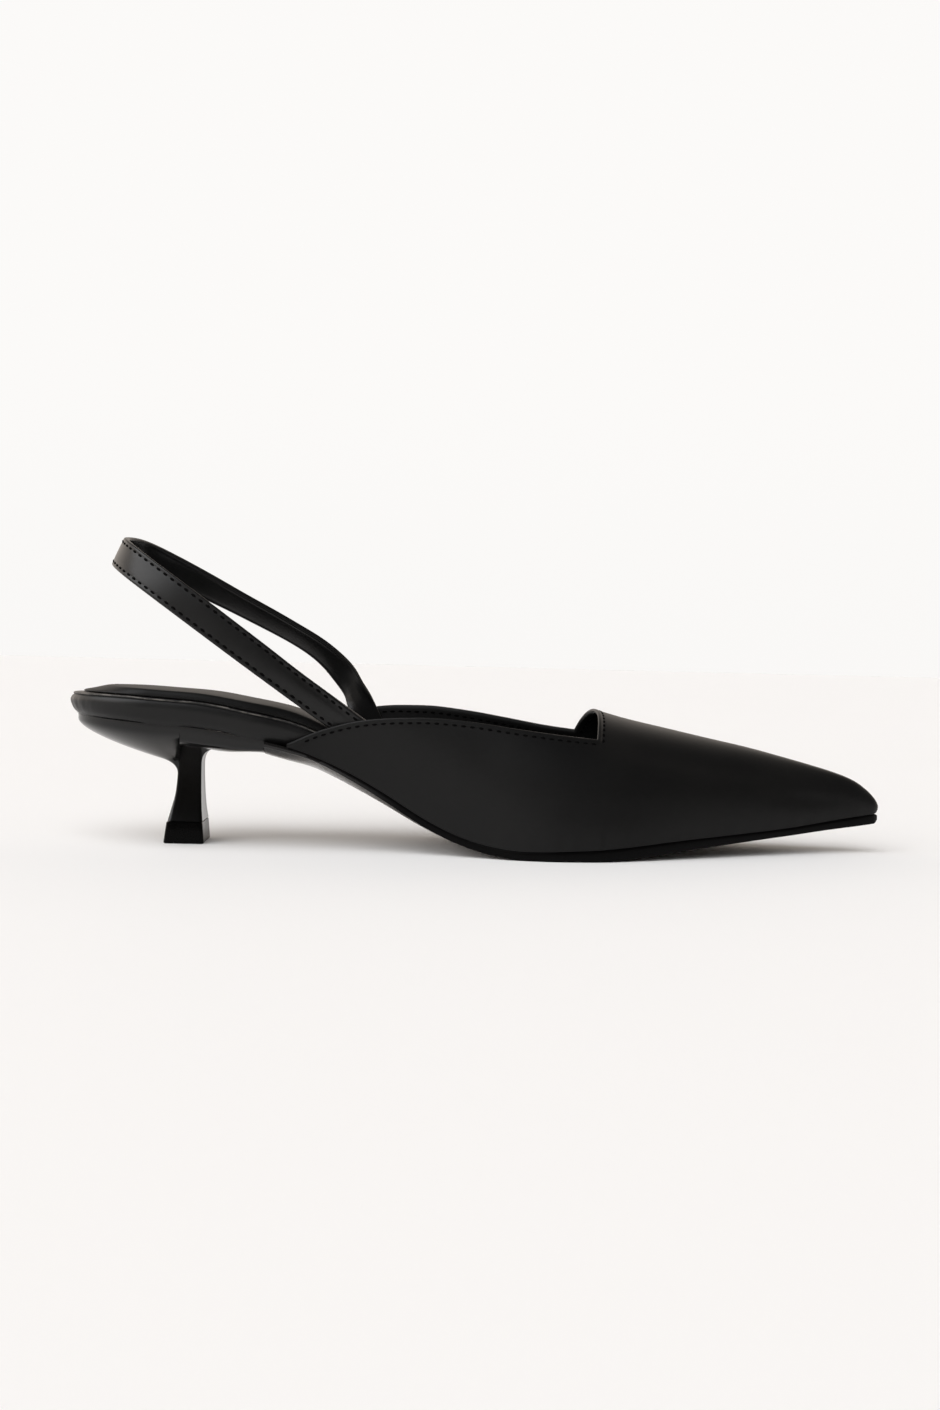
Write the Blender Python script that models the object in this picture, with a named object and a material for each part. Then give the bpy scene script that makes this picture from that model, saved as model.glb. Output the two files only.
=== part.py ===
"""Pointed slingback shoe on a kitten heel, for the right foot.

Metres, +Z up, +X towards the toe and +Y towards the inner side of the foot. The shoe stands on
the flat of its forefoot and on its heel tip at z = 0, and the origin lies under the middle of it.
Every size in the tables is in millimetres. A station is a distance forward from the back of the heel.
"""

import math
from collections import namedtuple

import bmesh
import bpy
from mathutils import Vector

MM = 0.001

# Driving dimensions
HEEL_BACK = 1.2
TOE_TIP = 271.8
UPPER_WALL = 1.5
SEAT_GAP = 0.3
TOP_LIFT_HEIGHT = 7.0
STRAP_THICKNESS = 2.0

# The last, from the heel seat to the toe: the middle line, the half width of the sole's edge and of
# the widest part above it, the height of the sole's top face and of the ridge over the foot.
Section = namedtuple("Section", "station centre edge belly feather ridge")
LAST = [
    Section(0.0, 0.0, 25.0, 25.0, 41.9, 104.0),
    Section(30.0, 0.0, 25.5, 25.5, 39.4, 101.0),
    Section(45.0, 0.0, 25.4, 25.4, 38.3, 100.0),
    Section(60.0, -0.2, 24.7, 24.8, 35.7, 99.0),
    Section(74.0, -0.5, 24.0, 24.6, 32.9, 96.0),
    Section(86.0, -0.9, 23.4, 27.4, 28.6, 91.0),
    Section(96.0, -1.2, 23.4, 29.4, 23.8, 86.0),
    Section(106.0, -1.5, 24.2, 30.8, 18.2, 81.0),
    Section(116.0, -1.7, 26.0, 32.0, 12.1, 75.0),
    Section(126.0, -1.7, 28.6, 33.4, 7.3, 69.5),
    Section(136.0, -1.5, 31.8, 35.2, 4.2, 63.5),
    Section(148.0, -1.0, 35.8, 37.6, 2.8, 56.8),
    Section(160.0, -0.3, 38.0, 39.0, 3.2, 51.2),
    Section(171.0, 0.5, 37.8, 38.7, 3.7, 47.4),
    Section(184.0, 1.5, 34.6, 35.5, 4.7, 43.8),
    Section(198.0, 2.4, 29.6, 30.5, 6.0, 40.8),
    Section(212.0, 3.1, 23.8, 24.7, 7.0, 37.8),
    Section(226.0, 3.8, 18.0, 18.8, 8.0, 34.9),
    Section(240.0, 4.4, 12.2, 12.9, 9.2, 31.4),
    Section(252.0, 4.8, 7.6, 8.2, 10.8, 28.2),
    Section(260.0, 5.0, 5.0, 5.5, 11.9, 25.7),
    Section(266.0, 5.0, 3.2, 3.6, 12.6, 22.8),
    Section(269.5, 5.0, 1.9, 2.2, 13.0, 19.5),
    Section(271.0, 5.0, 1.1, 1.3, 13.2, 17.6),
    Section(TOE_TIP, 5.0, 0.0, 0.0, 13.3, 15.9),
]
ARCH_POWER = 2.3
TUCK_ANGLE = math.radians(40.0)
SHOULDER_ANGLE = math.radians(49.0)
NOSE_TUCK = 0.6
NOSE_START = 258.0
NOSE_DEPTH = 5.0
NOSE_SHARE = 0.3

# The upper: the height of its top edge on the two sides of the foot, and its square throat.
TopEdge = namedtuple("TopEdge", "station lateral medial")
TOPLINE = [
    TopEdge(73.4, 34.2, 34.2),
    TopEdge(76.0, 35.2, 35.5),
    TopEdge(79.0, 36.8, 37.6),
    TopEdge(82.0, 38.1, 39.4),
    TopEdge(86.0, 39.5, 41.4),
    TopEdge(90.0, 40.7, 43.0),
    TopEdge(96.0, 42.2, 44.6),
    TopEdge(108.0, 43.5, 46.0),
    TopEdge(118.0, 43.8, 46.1),
    TopEdge(130.0, 43.0, 45.0),
    TopEdge(146.0, 40.9, 42.5),
    TopEdge(160.0, 39.2, 40.1),
    TopEdge(172.0, 38.0, 38.7),
]
UPPER_BACK = 73.4
THROAT_LATERAL = 171.5
THROAT_CENTRE = 173.4
THROAT_MEDIAL = 169.8
QUARTER_COLUMNS = 13
VAMP_COLUMNS = 17
WALL_ROWS = 8
VAMP_ROWS = 12

# The outsole: the foot of its edge, and how far its underside bulges below that under the arch.
SoleSection = namedtuple("SoleSection", "station inset foot crown")
OUTSOLE = [
    SoleSection(66.3, 1.8, 32.9, 2.8),
    SoleSection(80.0, 0.2, 29.6, 3.6),
    SoleSection(88.0, 0.0, 26.0, 3.5),
    SoleSection(96.0, 0.0, 21.7, 3.2),
    SoleSection(106.0, 0.0, 15.8, 2.6),
    SoleSection(116.0, 0.0, 9.6, 1.8),
    SoleSection(126.0, 0.0, 4.8, 1.2),
    SoleSection(136.0, 0.0, 1.7, 0.6),
    SoleSection(148.0, 0.0, 0.0, 0.0),
    SoleSection(171.0, 0.0, 0.0, 0.0),
    SoleSection(184.0, 0.0, 0.9, 0.0),
    SoleSection(198.0, 0.0, 2.5, 0.0),
    SoleSection(212.0, 0.0, 3.9, 0.0),
    SoleSection(226.0, 0.0, 5.3, 0.0),
    SoleSection(240.0, 0.0, 6.6, 0.0),
    SoleSection(252.0, 0.0, 7.9, 0.0),
    SoleSection(262.0, 0.0, 8.9, 0.0),
    SoleSection(271.0, 0.3, 9.9, 0.0),
]
SOLE_SHARES = (1.0, 0.95, 0.84, 0.62, 0.32, 0.0, -0.32, -0.62, -0.84, -0.95, -1.0)
SOLE_COLUMNS = 34
CROWN_POWER = 2.4
SEAT_CROWN_POWER = 7.0
SEAT_CROWN_END = 82.0

# The insole: a wrapped board with a thick round rim where it shows, thin inside the upper, and the
# padded sock that lies on it.
InsoleSection = namedtuple("InsoleSection", "station margin thickness pad")
INSOLE = [
    InsoleSection(0.0, 0.0, 6.6, 2.3),
    InsoleSection(12.0, 0.0, 7.4, 2.4),
    InsoleSection(30.0, 0.0, 8.1, 2.35),
    InsoleSection(60.0, 0.0, 8.2, 2.7),
    InsoleSection(74.0, 2.0, 8.0, 3.0),
    InsoleSection(90.0, 2.1, 7.2, 3.0),
    InsoleSection(106.0, 2.1, 5.4, 2.6),
    InsoleSection(126.0, 2.1, 3.4, 2.2),
    InsoleSection(148.0, 2.1, 2.6, 2.0),
    InsoleSection(TOE_TIP, 2.1, 2.4, 2.0),
]
SEAT_ARC = 30.0
INSOLE_FRONT = 258.0
SOCK_FRONT = 222.0
RimLevel = namedtuple("RimLevel", "share back side rise")
INSOLE_RIM = [
    RimLevel(0.0, 2.6, 2.2, 0.0),
    RimLevel(1.0, 2.6, 2.2, 0.0),
    RimLevel(1.0, 1.0, 0.8, 0.22),
    RimLevel(1.0, 0.2, 0.2, 0.46),
    RimLevel(1.0, 0.0, 0.0, 0.64),
    RimLevel(1.0, 0.8, 0.5, 0.87),
    RimLevel(1.0, 2.2, 1.4, 1.0),
    RimLevel(0.0, 2.2, 1.4, 1.0),
]
SOCK_RIM = [
    RimLevel(0.0, 4.4, 1.7, 0.0),
    RimLevel(1.0, 4.4, 1.7, 0.0),
    RimLevel(1.0, 4.7, 1.7, 0.2),
    RimLevel(1.0, 10.6, 2.4, 0.8),
    RimLevel(1.0, 14.0, 5.0, 1.0),
    RimLevel(0.0, 14.0, 5.0, 1.05),
]

# The heel: a shallow cup under the seat, drawn into a stem that flares to the tip. Its breast, where
# the stem's back meets the cup, is a step between two marks.
HEEL_INSET = 2.4
HEEL_FRONT = 66.0
HEEL_FRONT_CROWN = 3.0
HEEL_RIM_HEIGHT = 1.4
HEEL_MIDDLE = 0.4
StemSection = namedtuple("StemSection", "height back front half_width")
STEM = [
    StemSection(TOP_LIFT_HEIGHT + SEAT_GAP, 34.0, 45.6, 8.6),
    StemSection(11.0, 34.9, 45.1, 7.2),
    StemSection(17.0, 36.2, 44.7, 5.7),
    StemSection(24.0, 36.6, 44.5, 4.9),
    StemSection(34.0, 36.6, 44.5, 4.2),
]
STEM_HEIGHTS = (20.0, 16.0, 12.5, 9.6, TOP_LIFT_HEIGHT + SEAT_GAP)
STEM_POWER = 16.0
NeckMark = namedtuple("NeckMark", "angle corner dip fall start")
NECK = [
    NeckMark(0.0, 30.8, 0.0, 5.0, 1.0),
    NeckMark(45.0, 30.7, 0.0, 4.8, 1.0),
    NeckMark(60.0, 31.9, 1.4, 0.9, 0.96),
    NeckMark(74.0, 32.1, 1.1, 0.9, 0.97),
    NeckMark(88.0, 32.3, 0.7, 0.9, 0.97),
    NeckMark(100.0, 32.6, 0.3, 0.9, 0.97),
    NeckMark(114.0, 27.7, 0.0, 2.6, 0.87),
    NeckMark(135.0, 26.8, 0.0, 3.2, 0.84),
    NeckMark(160.0, 26.1, 0.0, 3.6, 0.82),
    NeckMark(180.0, 25.8, 0.0, 3.6, 0.82),
]
NECK_SHELF = 4.6
BACK_BOWL = 0.38
BACK_POWER = 2.2
SIDE_POWER = 4.0
SEAT_FRONT_SHARES = (0.0, 0.62, 0.9, 1.0)
SEAT_SIDE_STATIONS = (63.0, 59.0, 52.0, 45.0, 39.7)
SEAT_REAR_STATIONS = (39.2, 34.5)
SEAT_BACK_ANGLES = (82.0, 60.0, 40.0, 20.0, 0.0)
FRONT_ANGLES = (0.0, 17.0, 31.0, 45.0)
SIDE_ANGLES = (52.0, 60.0, 74.0, 88.0, 100.0)
REAR_ANGLES = (114.0, 127.0, 140.0, 152.0, 162.0, 171.0, 180.0)
STEM_ANGLES = FRONT_ANGLES + SIDE_ANGLES + REAR_ANGLES
CUP_SHARES = (0.02, 0.1, 0.26, 0.55, 1.0)
FILLET_SHARES = (0.25, 0.5, 0.75)
LIFT_TOP = StemSection(TOP_LIFT_HEIGHT, 33.7, 45.6, 9.0)
LIFT_FOOT = StemSection(0.0, 32.8, 46.2, 9.25)

# The sling strap's middle line, from the lateral side round the heel to the medial side, and how far
# its top edge leans in. The ends lie flat against the inside of the upper.
StrapPoint = namedtuple("StrapPoint", "station across height lean width")
STRAP = [
    StrapPoint(75.0, -24.9, 52.9, -1.0, 9.1),
    StrapPoint(64.0, -25.4, 60.9, 3.0, 9.5),
    StrapPoint(41.0, -22.6, 77.3, 8.0, 9.8),
    StrapPoint(29.1, -18.8, 85.6, 12.0, 9.8),
    StrapPoint(20.4, -11.6, 91.6, 18.0, 9.9),
    StrapPoint(16.0, 0.0, 94.8, 25.0, 9.9),
    StrapPoint(18.6, 9.6, 95.4, 30.0, 9.8),
    StrapPoint(25.0, 17.4, 92.9, 35.0, 10.3),
    StrapPoint(39.4, 22.6, 86.1, 42.0, 10.6),
    StrapPoint(55.4, 24.6, 78.1, 47.0, 10.0),
    StrapPoint(71.3, 25.6, 69.9, 47.0, 9.4),
    StrapPoint(80.9, 25.6, 64.1, 42.0, 9.3),
    StrapPoint(88.2, 25.2, 57.4, 27.0, 9.4),
    StrapPoint(91.7, 24.7, 52.8, 10.0, 9.3),
]
StrapEnd = namedtuple("StrapEnd", "station height")
STRAP_LATERAL_ENDS = [StrapEnd(97.0, 37.6), StrapEnd(85.6, 45.4)]
STRAP_MEDIAL_ENDS = [StrapEnd(93.9, 48.6), StrapEnd(99.0, 38.2)]
STRAP_END_WIDTH = 9.1
STRAP_WALL_GAP = 0.5
STRAP_COLUMNS = 46
STRAP_BEVEL = 0.45


def smooth_curve(places, values):
    """A cubic through the values with no overshoot: it stays flat between two equal values."""
    spans = [after - before for before, after in zip(places, places[1:])]
    slopes = [(after - before) / span for before, after, span in zip(values, values[1:], spans)]
    tangents = [slopes[0]]
    for before, after in zip(slopes, slopes[1:]):
        same_way = before * after > 0.0
        tangents.append(2.0 * before * after / (before + after) if same_way else 0.0)
    tangents.append(slopes[-1])

    def value(place):
        place = min(max(place, places[0]), places[-1])
        index = max(i for i in range(len(spans)) if places[i] <= place)
        span = spans[index]
        t = (place - places[index]) / span
        start = (1 + 2 * t) * (1 - t) ** 2 * values[index] + t * (1 - t) ** 2 * span * tangents[index]
        end = t * t * (3 - 2 * t) * values[index + 1] - t * t * (1 - t) * span * tangents[index + 1]
        return start + end

    return value


def column(table, name, along="station"):
    """One column of a table as a smooth curve."""
    return smooth_curve([getattr(row, along) for row in table], [getattr(row, name) for row in table])


centre_at = column(LAST, "centre")
edge_at = column(LAST, "edge")
belly_at = column(LAST, "belly")
feather_at = column(LAST, "feather")
ridge_at = column(LAST, "ridge")
lateral_top_at = column(TOPLINE, "lateral")
medial_top_at = column(TOPLINE, "medial")
sole_inset_at = column(OUTSOLE, "inset")
sole_foot_at = column(OUTSOLE, "foot")
sole_crown_at = column(OUTSOLE, "crown")
margin_at = column(INSOLE, "margin")
insole_thickness_at = column(INSOLE, "thickness")
pad_at = column(INSOLE, "pad")
neck_corner_at = column(NECK, "corner", "angle")
neck_dip_at = column(NECK, "dip", "angle")
neck_fall_at = column(NECK, "fall", "angle")
neck_start_at = column(NECK, "start", "angle")
stem_back_at = column(STEM, "back", "height")
stem_front_at = column(STEM, "front", "height")
stem_width_at = column(STEM, "half_width", "height")


def in_frame(station, across, height):
    """A point of the tables, in millimetres from the back of the heel, as a place in metres."""
    return Vector(((station - (HEEL_BACK + TOE_TIP) / 2) * MM, across * MM, height * MM))


def spread(start, stop, count):
    """Evenly spaced values from start to stop."""
    return [start + (stop - start) * index / (count - 1) for index in range(count)]


def shaped_grid(rows, columns, place):
    """A grid sheet with each of its points moved to place(row, column)."""
    mesh = bmesh.new()
    bmesh.ops.create_grid(mesh, x_segments=columns - 1, y_segments=rows - 1, size=1.0)
    for vert in mesh.verts:
        across = round((vert.co.x + 1.0) / 2.0 * (columns - 1))
        up = round((vert.co.y + 1.0) / 2.0 * (rows - 1))
        vert.co = place(up, across)
    return mesh


def finish_object(mesh, name, material, collection):
    """The bmesh as a named object with its material, smooth but for its sharp edges."""
    data = bpy.data.meshes.new(name)
    mesh.to_mesh(data)
    mesh.free()
    data.materials.append(material)
    data.shade_smooth()
    data.set_sharp_from_angle(angle=math.radians(40.0))
    piece = bpy.data.objects.new(name, data)
    collection.objects.link(piece)
    return piece


def loft(rings):
    """A closed solid through rings of points: a ring that folds flat closes itself, the others get a cap."""
    count = len(rings[0])
    mesh = shaped_grid(len(rings), count + 1, lambda row, index: rings[row][index % count])
    bmesh.ops.remove_doubles(mesh, verts=mesh.verts, dist=0.00002)
    bmesh.ops.dissolve_degenerate(mesh, edges=mesh.edges, dist=0.00002)
    bmesh.ops.holes_fill(mesh, edges=[edge for edge in mesh.edges if edge.is_boundary], sides=0)
    bmesh.ops.recalc_face_normals(mesh, faces=mesh.faces)
    return mesh


def arch_point(station, angle, inset=0.0):
    """A point on the last: angle 0 is the lateral feather line, pi the medial one, inset goes inwards."""
    low = min(angle, math.pi - angle)
    side = -1.0 if angle < math.pi / 2 else 1.0
    belly, edge = belly_at(station), edge_at(station)
    belly, edge = max(belly - inset, NOSE_SHARE * belly), max(edge - inset, NOSE_SHARE * edge)
    tuck = max(0.0, 1.0 - low / TUCK_ANGLE) ** 2
    reach = belly * math.cos(low) ** (2 / ARCH_POWER) - (belly - edge) * tuck
    foot = feather_at(station) + SEAT_GAP
    height = foot + (ridge_at(station) - inset - foot) * math.sin(low) ** (2 / ARCH_POWER)
    nose = max(0.0, (station - NOSE_START) / (TOE_TIP - NOSE_START)) ** 2
    back = nose * (NOSE_TUCK * tuck + NOSE_DEPTH * inset / UPPER_WALL)
    return station - back, centre_at(station) + side * reach, height


def angle_at_height(station, height):
    """The angle of the arch at which its wall reaches a height."""
    foot = feather_at(station) + SEAT_GAP
    share = (height - foot) / (ridge_at(station) - foot)
    return math.asin(min(1.0, max(0.0, share)) ** (ARCH_POWER / 2))


def throat_station(row):
    """The station of the throat's edge along one row of the upper."""
    if row <= WALL_ROWS:
        return THROAT_LATERAL
    if row >= WALL_ROWS + VAMP_ROWS:
        return THROAT_MEDIAL
    share = (row - WALL_ROWS) / VAMP_ROWS
    straight = THROAT_LATERAL + (THROAT_MEDIAL - THROAT_LATERAL) * share
    middle = (THROAT_LATERAL + THROAT_MEDIAL) / 2
    return straight + (THROAT_CENTRE - middle) * math.sin(math.pi * share)


def upper_place(row, index, inset):
    """The upper at one row, from sole to sole over the foot, and one column, from back to toe."""
    throat = throat_station(row)
    if index < QUARTER_COLUMNS:
        station = UPPER_BACK + (throat - UPPER_BACK) * index / QUARTER_COLUMNS
        toe_share = 0.0
    else:
        toe_share = math.sin((index - QUARTER_COLUMNS) / VAMP_COLUMNS * math.pi / 2)
        station = throat + (TOE_TIP - throat) * toe_share
    cut = min(station, throat)
    lateral = angle_at_height(cut, lateral_top_at(cut))
    medial = angle_at_height(cut, medial_top_at(cut))
    lateral += (SHOULDER_ANGLE - lateral) * toe_share
    medial += (SHOULDER_ANGLE - medial) * toe_share
    if row <= WALL_ROWS:
        angle = lateral * row / WALL_ROWS
    elif row >= WALL_ROWS + VAMP_ROWS:
        angle = math.pi - medial * (2 * WALL_ROWS + VAMP_ROWS - row) / WALL_ROWS
    else:
        angle = lateral + (math.pi - medial - lateral) * (row - WALL_ROWS) / VAMP_ROWS
    return in_frame(*arch_point(station, angle, inset))


def add_upper_face(mesh, inset):
    """One face of the upper's wall: a sheet over the last with the foot's opening cut out of its back."""
    rows = 2 * WALL_ROWS + VAMP_ROWS
    columns = QUARTER_COLUMNS + VAMP_COLUMNS
    made = bmesh.ops.create_grid(mesh, x_segments=columns, y_segments=rows, size=1.0)
    opening = []
    for vert in made["verts"]:
        index = round((vert.co.x + 1.0) / 2.0 * columns)
        row = round((vert.co.y + 1.0) / 2.0 * rows)
        vert.co = upper_place(row, index, inset)
        if index < QUARTER_COLUMNS and WALL_ROWS < row < WALL_ROWS + VAMP_ROWS:
            opening.append(vert)
    bmesh.ops.delete(mesh, geom=opening, context="VERTS")


def make_upper(material, collection):
    """The one-piece upper: two low quarters and the pointed vamp, with a square throat, as a hollow wall."""
    mesh = bmesh.new()
    add_upper_face(mesh, 0.0)
    add_upper_face(mesh, UPPER_WALL)
    bmesh.ops.remove_doubles(mesh, verts=mesh.verts, dist=0.00002)
    bmesh.ops.bridge_loops(mesh, edges=[edge for edge in mesh.edges if edge.is_boundary])
    bmesh.ops.recalc_face_normals(mesh, faces=mesh.faces)
    return finish_object(mesh, "upper", material, collection)


def crown_power(station):
    """The bottom is flat with steep sides under the heel seat and an even curve under the arch."""
    share = max(0.0, min(1.0, (SEAT_CROWN_END - station) / (SEAT_CROWN_END - OUTSOLE[0].station)))
    return CROWN_POWER + (SEAT_CROWN_POWER - CROWN_POWER) * share * share * (3.0 - 2.0 * share)


def sole_ring(station):
    """One section of the outsole: across its flat top, then back under its crowned bottom."""
    centre, top = centre_at(station), feather_at(station)
    edge = edge_at(station) - sole_inset_at(station)
    foot, crown, power = sole_foot_at(station), sole_crown_at(station), crown_power(station)
    over = [in_frame(station, centre - share * edge, top) for share in SOLE_SHARES]
    under = [
        in_frame(station, centre - share * edge, foot - crown * (1.0 - abs(share) ** power))
        for share in reversed(SOLE_SHARES)
    ]
    return over + under


def make_outsole(material, collection):
    """The thin outsole from the heel's breast to the toe, flat under the forefoot and rounded under the arch."""
    marks = [row.station for row in OUTSOLE] + [266.0, 269.5]
    even = spread(OUTSOLE[0].station, OUTSOLE[-1].station, SOLE_COLUMNS)
    clear = [station for station in even if min(abs(station - mark) for mark in marks) > 2.5]
    rings = [sole_ring(station) for station in sorted(marks + clear)]
    return finish_object(loft(rings), "outsole", material, collection)


def plan_marks(front):
    """The half outline of an insole layer, heel to toe: angles round the seat, then stations."""
    angles = [("angle", angle) for angle in spread(0.0, 90.0, 11)]
    stations = [("station", station) for station in spread(SEAT_ARC, front, 27)[1:]]
    return angles + stations


def plan_point(mark, hand, level):
    """A point of the insole's outline, drawn in by a level's insets and then towards the middle line."""
    kind, value = mark
    if kind == "angle":
        angle = math.radians(value)
        station = SEAT_ARC - (SEAT_ARC - HEEL_BACK - level.back) * math.cos(angle)
        half = (edge_at(SEAT_ARC) - level.side) * math.sin(angle)
    else:
        station = value
        half = max(0.4, edge_at(station) - margin_at(station) - level.side)
    return station, centre_at(station) + hand * level.share * half


def plate_rings(front, levels, height):
    """Rings of a layer that follows the insole's outline, a ring for each level of its rim."""
    marks = plan_marks(front)
    around = [(mark, -1.0) for mark in reversed(marks)] + [(mark, 1.0) for mark in marks[1:]]
    rings = []
    for level in levels:
        ring = []
        for mark, hand in around:
            station, across = plan_point(mark, hand, level)
            ring.append(in_frame(station, across, height(station, level.rise)))
        rings.append(ring)
    return rings


def insole_height(station, rise):
    return feather_at(station) + SEAT_GAP + insole_thickness_at(station) * rise


def sock_height(station, rise):
    return insole_height(station, 1.0) + SEAT_GAP + pad_at(station) * rise


def make_insole(material, collection):
    """The wrapped insole board, with its round rim bare round the heel seat."""
    rings = plate_rings(INSOLE_FRONT, INSOLE_RIM, insole_height)
    return finish_object(loft(rings), "insole", material, collection)


def make_sock_pad(material, collection):
    """The padded sock on the insole, with a bevelled edge."""
    rings = plate_rings(SOCK_FRONT, SOCK_RIM, sock_height)
    return finish_object(loft(rings), "sock_pad", material, collection)


def stem_point(angle, height, size):
    """A point of the stem's section, a rectangle with small round corners: angle 0 is its front."""
    turn = math.radians(angle)
    middle, half_length = (size.front + size.back) / 2, (size.front - size.back) / 2
    forward = math.copysign(abs(math.cos(turn)) ** (2 / STEM_POWER), math.cos(turn))
    sideways = abs(math.sin(turn)) ** (2 / STEM_POWER)
    return Vector((middle + half_length * forward, size.half_width * sideways, height))


def stem_size(height):
    return StemSection(height, stem_back_at(height), stem_front_at(height), stem_width_at(height))


def seat_points():
    """The half outline of the heel's top, from the middle of its front round to the back."""
    front_half = edge_at(HEEL_FRONT) - HEEL_INSET
    points = [(HEEL_FRONT, share * front_half) for share in SEAT_FRONT_SHARES]
    sides = SEAT_SIDE_STATIONS + SEAT_REAR_STATIONS
    points += [(station, edge_at(station) - HEEL_INSET) for station in sides]
    edge = RimLevel(1.0, HEEL_INSET, HEEL_INSET, 0.0)
    points += [plan_point(("angle", angle), 1.0, edge) for angle in SEAT_BACK_ANGLES]
    return points


def heel_path(seat, angle):
    """One line down the heel: seat edge, cup, fillet at the neck, then the flaring stem to the tip."""
    station, across = seat
    top = feather_at(station)
    front_share = max(0.0, (station - SEAT_SIDE_STATIONS[-1]) / (HEEL_FRONT - SEAT_SIDE_STATIONS[-1]))
    across_share = min(1.0, abs(across) / (edge_at(station) - HEEL_INSET))
    rim = HEEL_RIM_HEIGHT + HEEL_FRONT_CROWN * front_share ** 2 * (1.0 - across_share ** SEAT_CROWN_POWER)
    edge = Vector((station, across, top - rim))
    corner_height = neck_corner_at(angle)
    corner = stem_point(angle, corner_height, stem_size(corner_height))
    fall_height = corner_height - neck_fall_at(angle)
    below = stem_point(angle, fall_height, stem_size(fall_height))
    path = [Vector((station, across, top)), edge]
    bowl, power = (BACK_BOWL, BACK_POWER) if angle in REAR_ANGLES else (min(1.0, angle / 30.0), SIDE_POWER)
    shelf = corner + Vector((NECK_SHELF * min(1.0, max(0.0, (60.0 - angle) / 15.0)), 0.0, 0.0))
    for share in CUP_SHARES:
        share *= neck_start_at(angle)
        round_share = (1.0 - (1.0 - share) ** power) ** (1.0 / power)
        sag = (edge.z - corner.z) * (round_share - share) * bowl
        sag += neck_dip_at(angle) * (round_share - share ** 4)
        path.append(edge.lerp(shelf, share) - Vector((0.0, 0.0, sag)))
    start = path[-1]
    path += [start.lerp(corner, t).lerp(corner.lerp(below, t), t) for t in FILLET_SHARES]
    path.append(below)
    path += [stem_point(angle, height, stem_size(height)) for height in STEM_HEIGHTS]
    return path


def mirrored_ring(half):
    """A whole ring from half of it, which runs from the front middle to the back middle."""
    medial = [in_frame(p.x, HEEL_MIDDLE + p.y, p.z) for p in half]
    lateral = [in_frame(p.x, HEEL_MIDDLE - p.y, p.z) for p in half[1:-1]]
    return medial + lateral[::-1]


def make_heel(material, collection):
    """The covered heel block: cup and stem in one."""
    paths = [heel_path(seat, angle) for seat, angle in zip(seat_points(), STEM_ANGLES)]
    rings = [mirrored_ring(list(half)) for half in zip(*paths)]
    return finish_object(loft(rings), "heel", material, collection)


def make_top_lift(material, collection):
    """The rubber tip that the heel stands on."""
    rings = []
    for size in (LIFT_TOP, LIFT_FOOT):
        rings.append(mirrored_ring([stem_point(angle, size.height, size) for angle in STEM_ANGLES]))
    return finish_object(loft(rings), "top_lift", material, collection)


def strap_ends(ends, medial):
    """Strap points that lie against the inside of the upper, leaning with its wall."""
    side = 1.0 if medial else -1.0
    run = Vector((ends[1].station - ends[0].station, ends[1].height - ends[0].height)).normalized()
    upward = Vector((-run.y, run.x)) if run.x > 0.0 else Vector((run.y, -run.x))
    points = []
    for end in ends:
        reach = []
        for edge in (-STRAP_END_WIDTH / 2, STRAP_END_WIDTH / 2):
            station, height = end.station + upward.x * edge, end.height + upward.y * edge
            angle = angle_at_height(station, height)
            reach.append(side * arch_point(station, math.pi - angle if medial else angle)[1])
        inward = UPPER_WALL + STRAP_WALL_GAP + STRAP_THICKNESS / 2
        lean = -math.degrees(math.asin((reach[1] - reach[0]) / STRAP_END_WIDTH))
        across = side * (sum(reach) / 2 - inward)
        points.append(StrapPoint(end.station, across, end.height, lean, STRAP_END_WIDTH))
    return points


def strap_route():
    """The strap's middle line as smooth curves of the length along it."""
    points = strap_ends(STRAP_LATERAL_ENDS, False) + STRAP + strap_ends(STRAP_MEDIAL_ENDS, True)
    lengths = [0.0]
    for before, after in zip(points, points[1:]):
        lengths.append(lengths[-1] + math.dist(before[:3], after[:3]))
    names = StrapPoint._fields
    curves = [smooth_curve(lengths, [getattr(point, name) for point in points]) for name in names]
    return lengths[-1], curves


def strap_ring(distance, curves, step=0.5):
    """One section of the strap: a flat band with bevelled edges, square to its middle line."""
    place = Vector([curve(distance) for curve in curves[:3]])
    before = Vector([curve(distance - step) for curve in curves[:3]])
    after = Vector([curve(distance + step) for curve in curves[:3]])
    tangent = (after - before).normalized()
    inward = Vector((0.0, 0.0, 1.0)).cross(tangent).normalized() * -1.0
    upward = tangent.cross(inward).normalized() * -1.0
    lean = math.radians(curves[3](distance))
    width = upward * math.cos(lean) + inward * math.sin(lean)
    normal = inward * math.cos(lean) - upward * math.sin(lean)
    half_width, half_thickness = curves[4](distance) / 2, STRAP_THICKNESS / 2
    flat, thin = half_width - STRAP_BEVEL, half_thickness - STRAP_BEVEL
    outline = [(half_width, thin), (flat, half_thickness), (-flat, half_thickness), (-half_width, thin)]
    outline += [(-up, -out) for up, out in outline]
    return [in_frame(*(place + width * up + normal * out)) for up, out in outline]


def make_sling_strap(material, collection):
    """The sling strap, one stitched band from side to side round the back of the heel."""
    length, curves = strap_route()
    rings = [strap_ring(distance, curves) for distance in spread(0.0, length, STRAP_COLUMNS)]
    return finish_object(loft(rings), "sling_strap", material, collection)


def finish_material(name, colour, roughness):
    """A plain surface finish."""
    material = bpy.data.materials.new(name)
    material.use_nodes = True
    shader = material.node_tree.nodes["Principled BSDF"]
    shader.inputs["Base Color"].default_value = (*colour, 1.0)
    shader.inputs["Roughness"].default_value = roughness
    shader.inputs["Metallic"].default_value = 0.0
    return material


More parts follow.
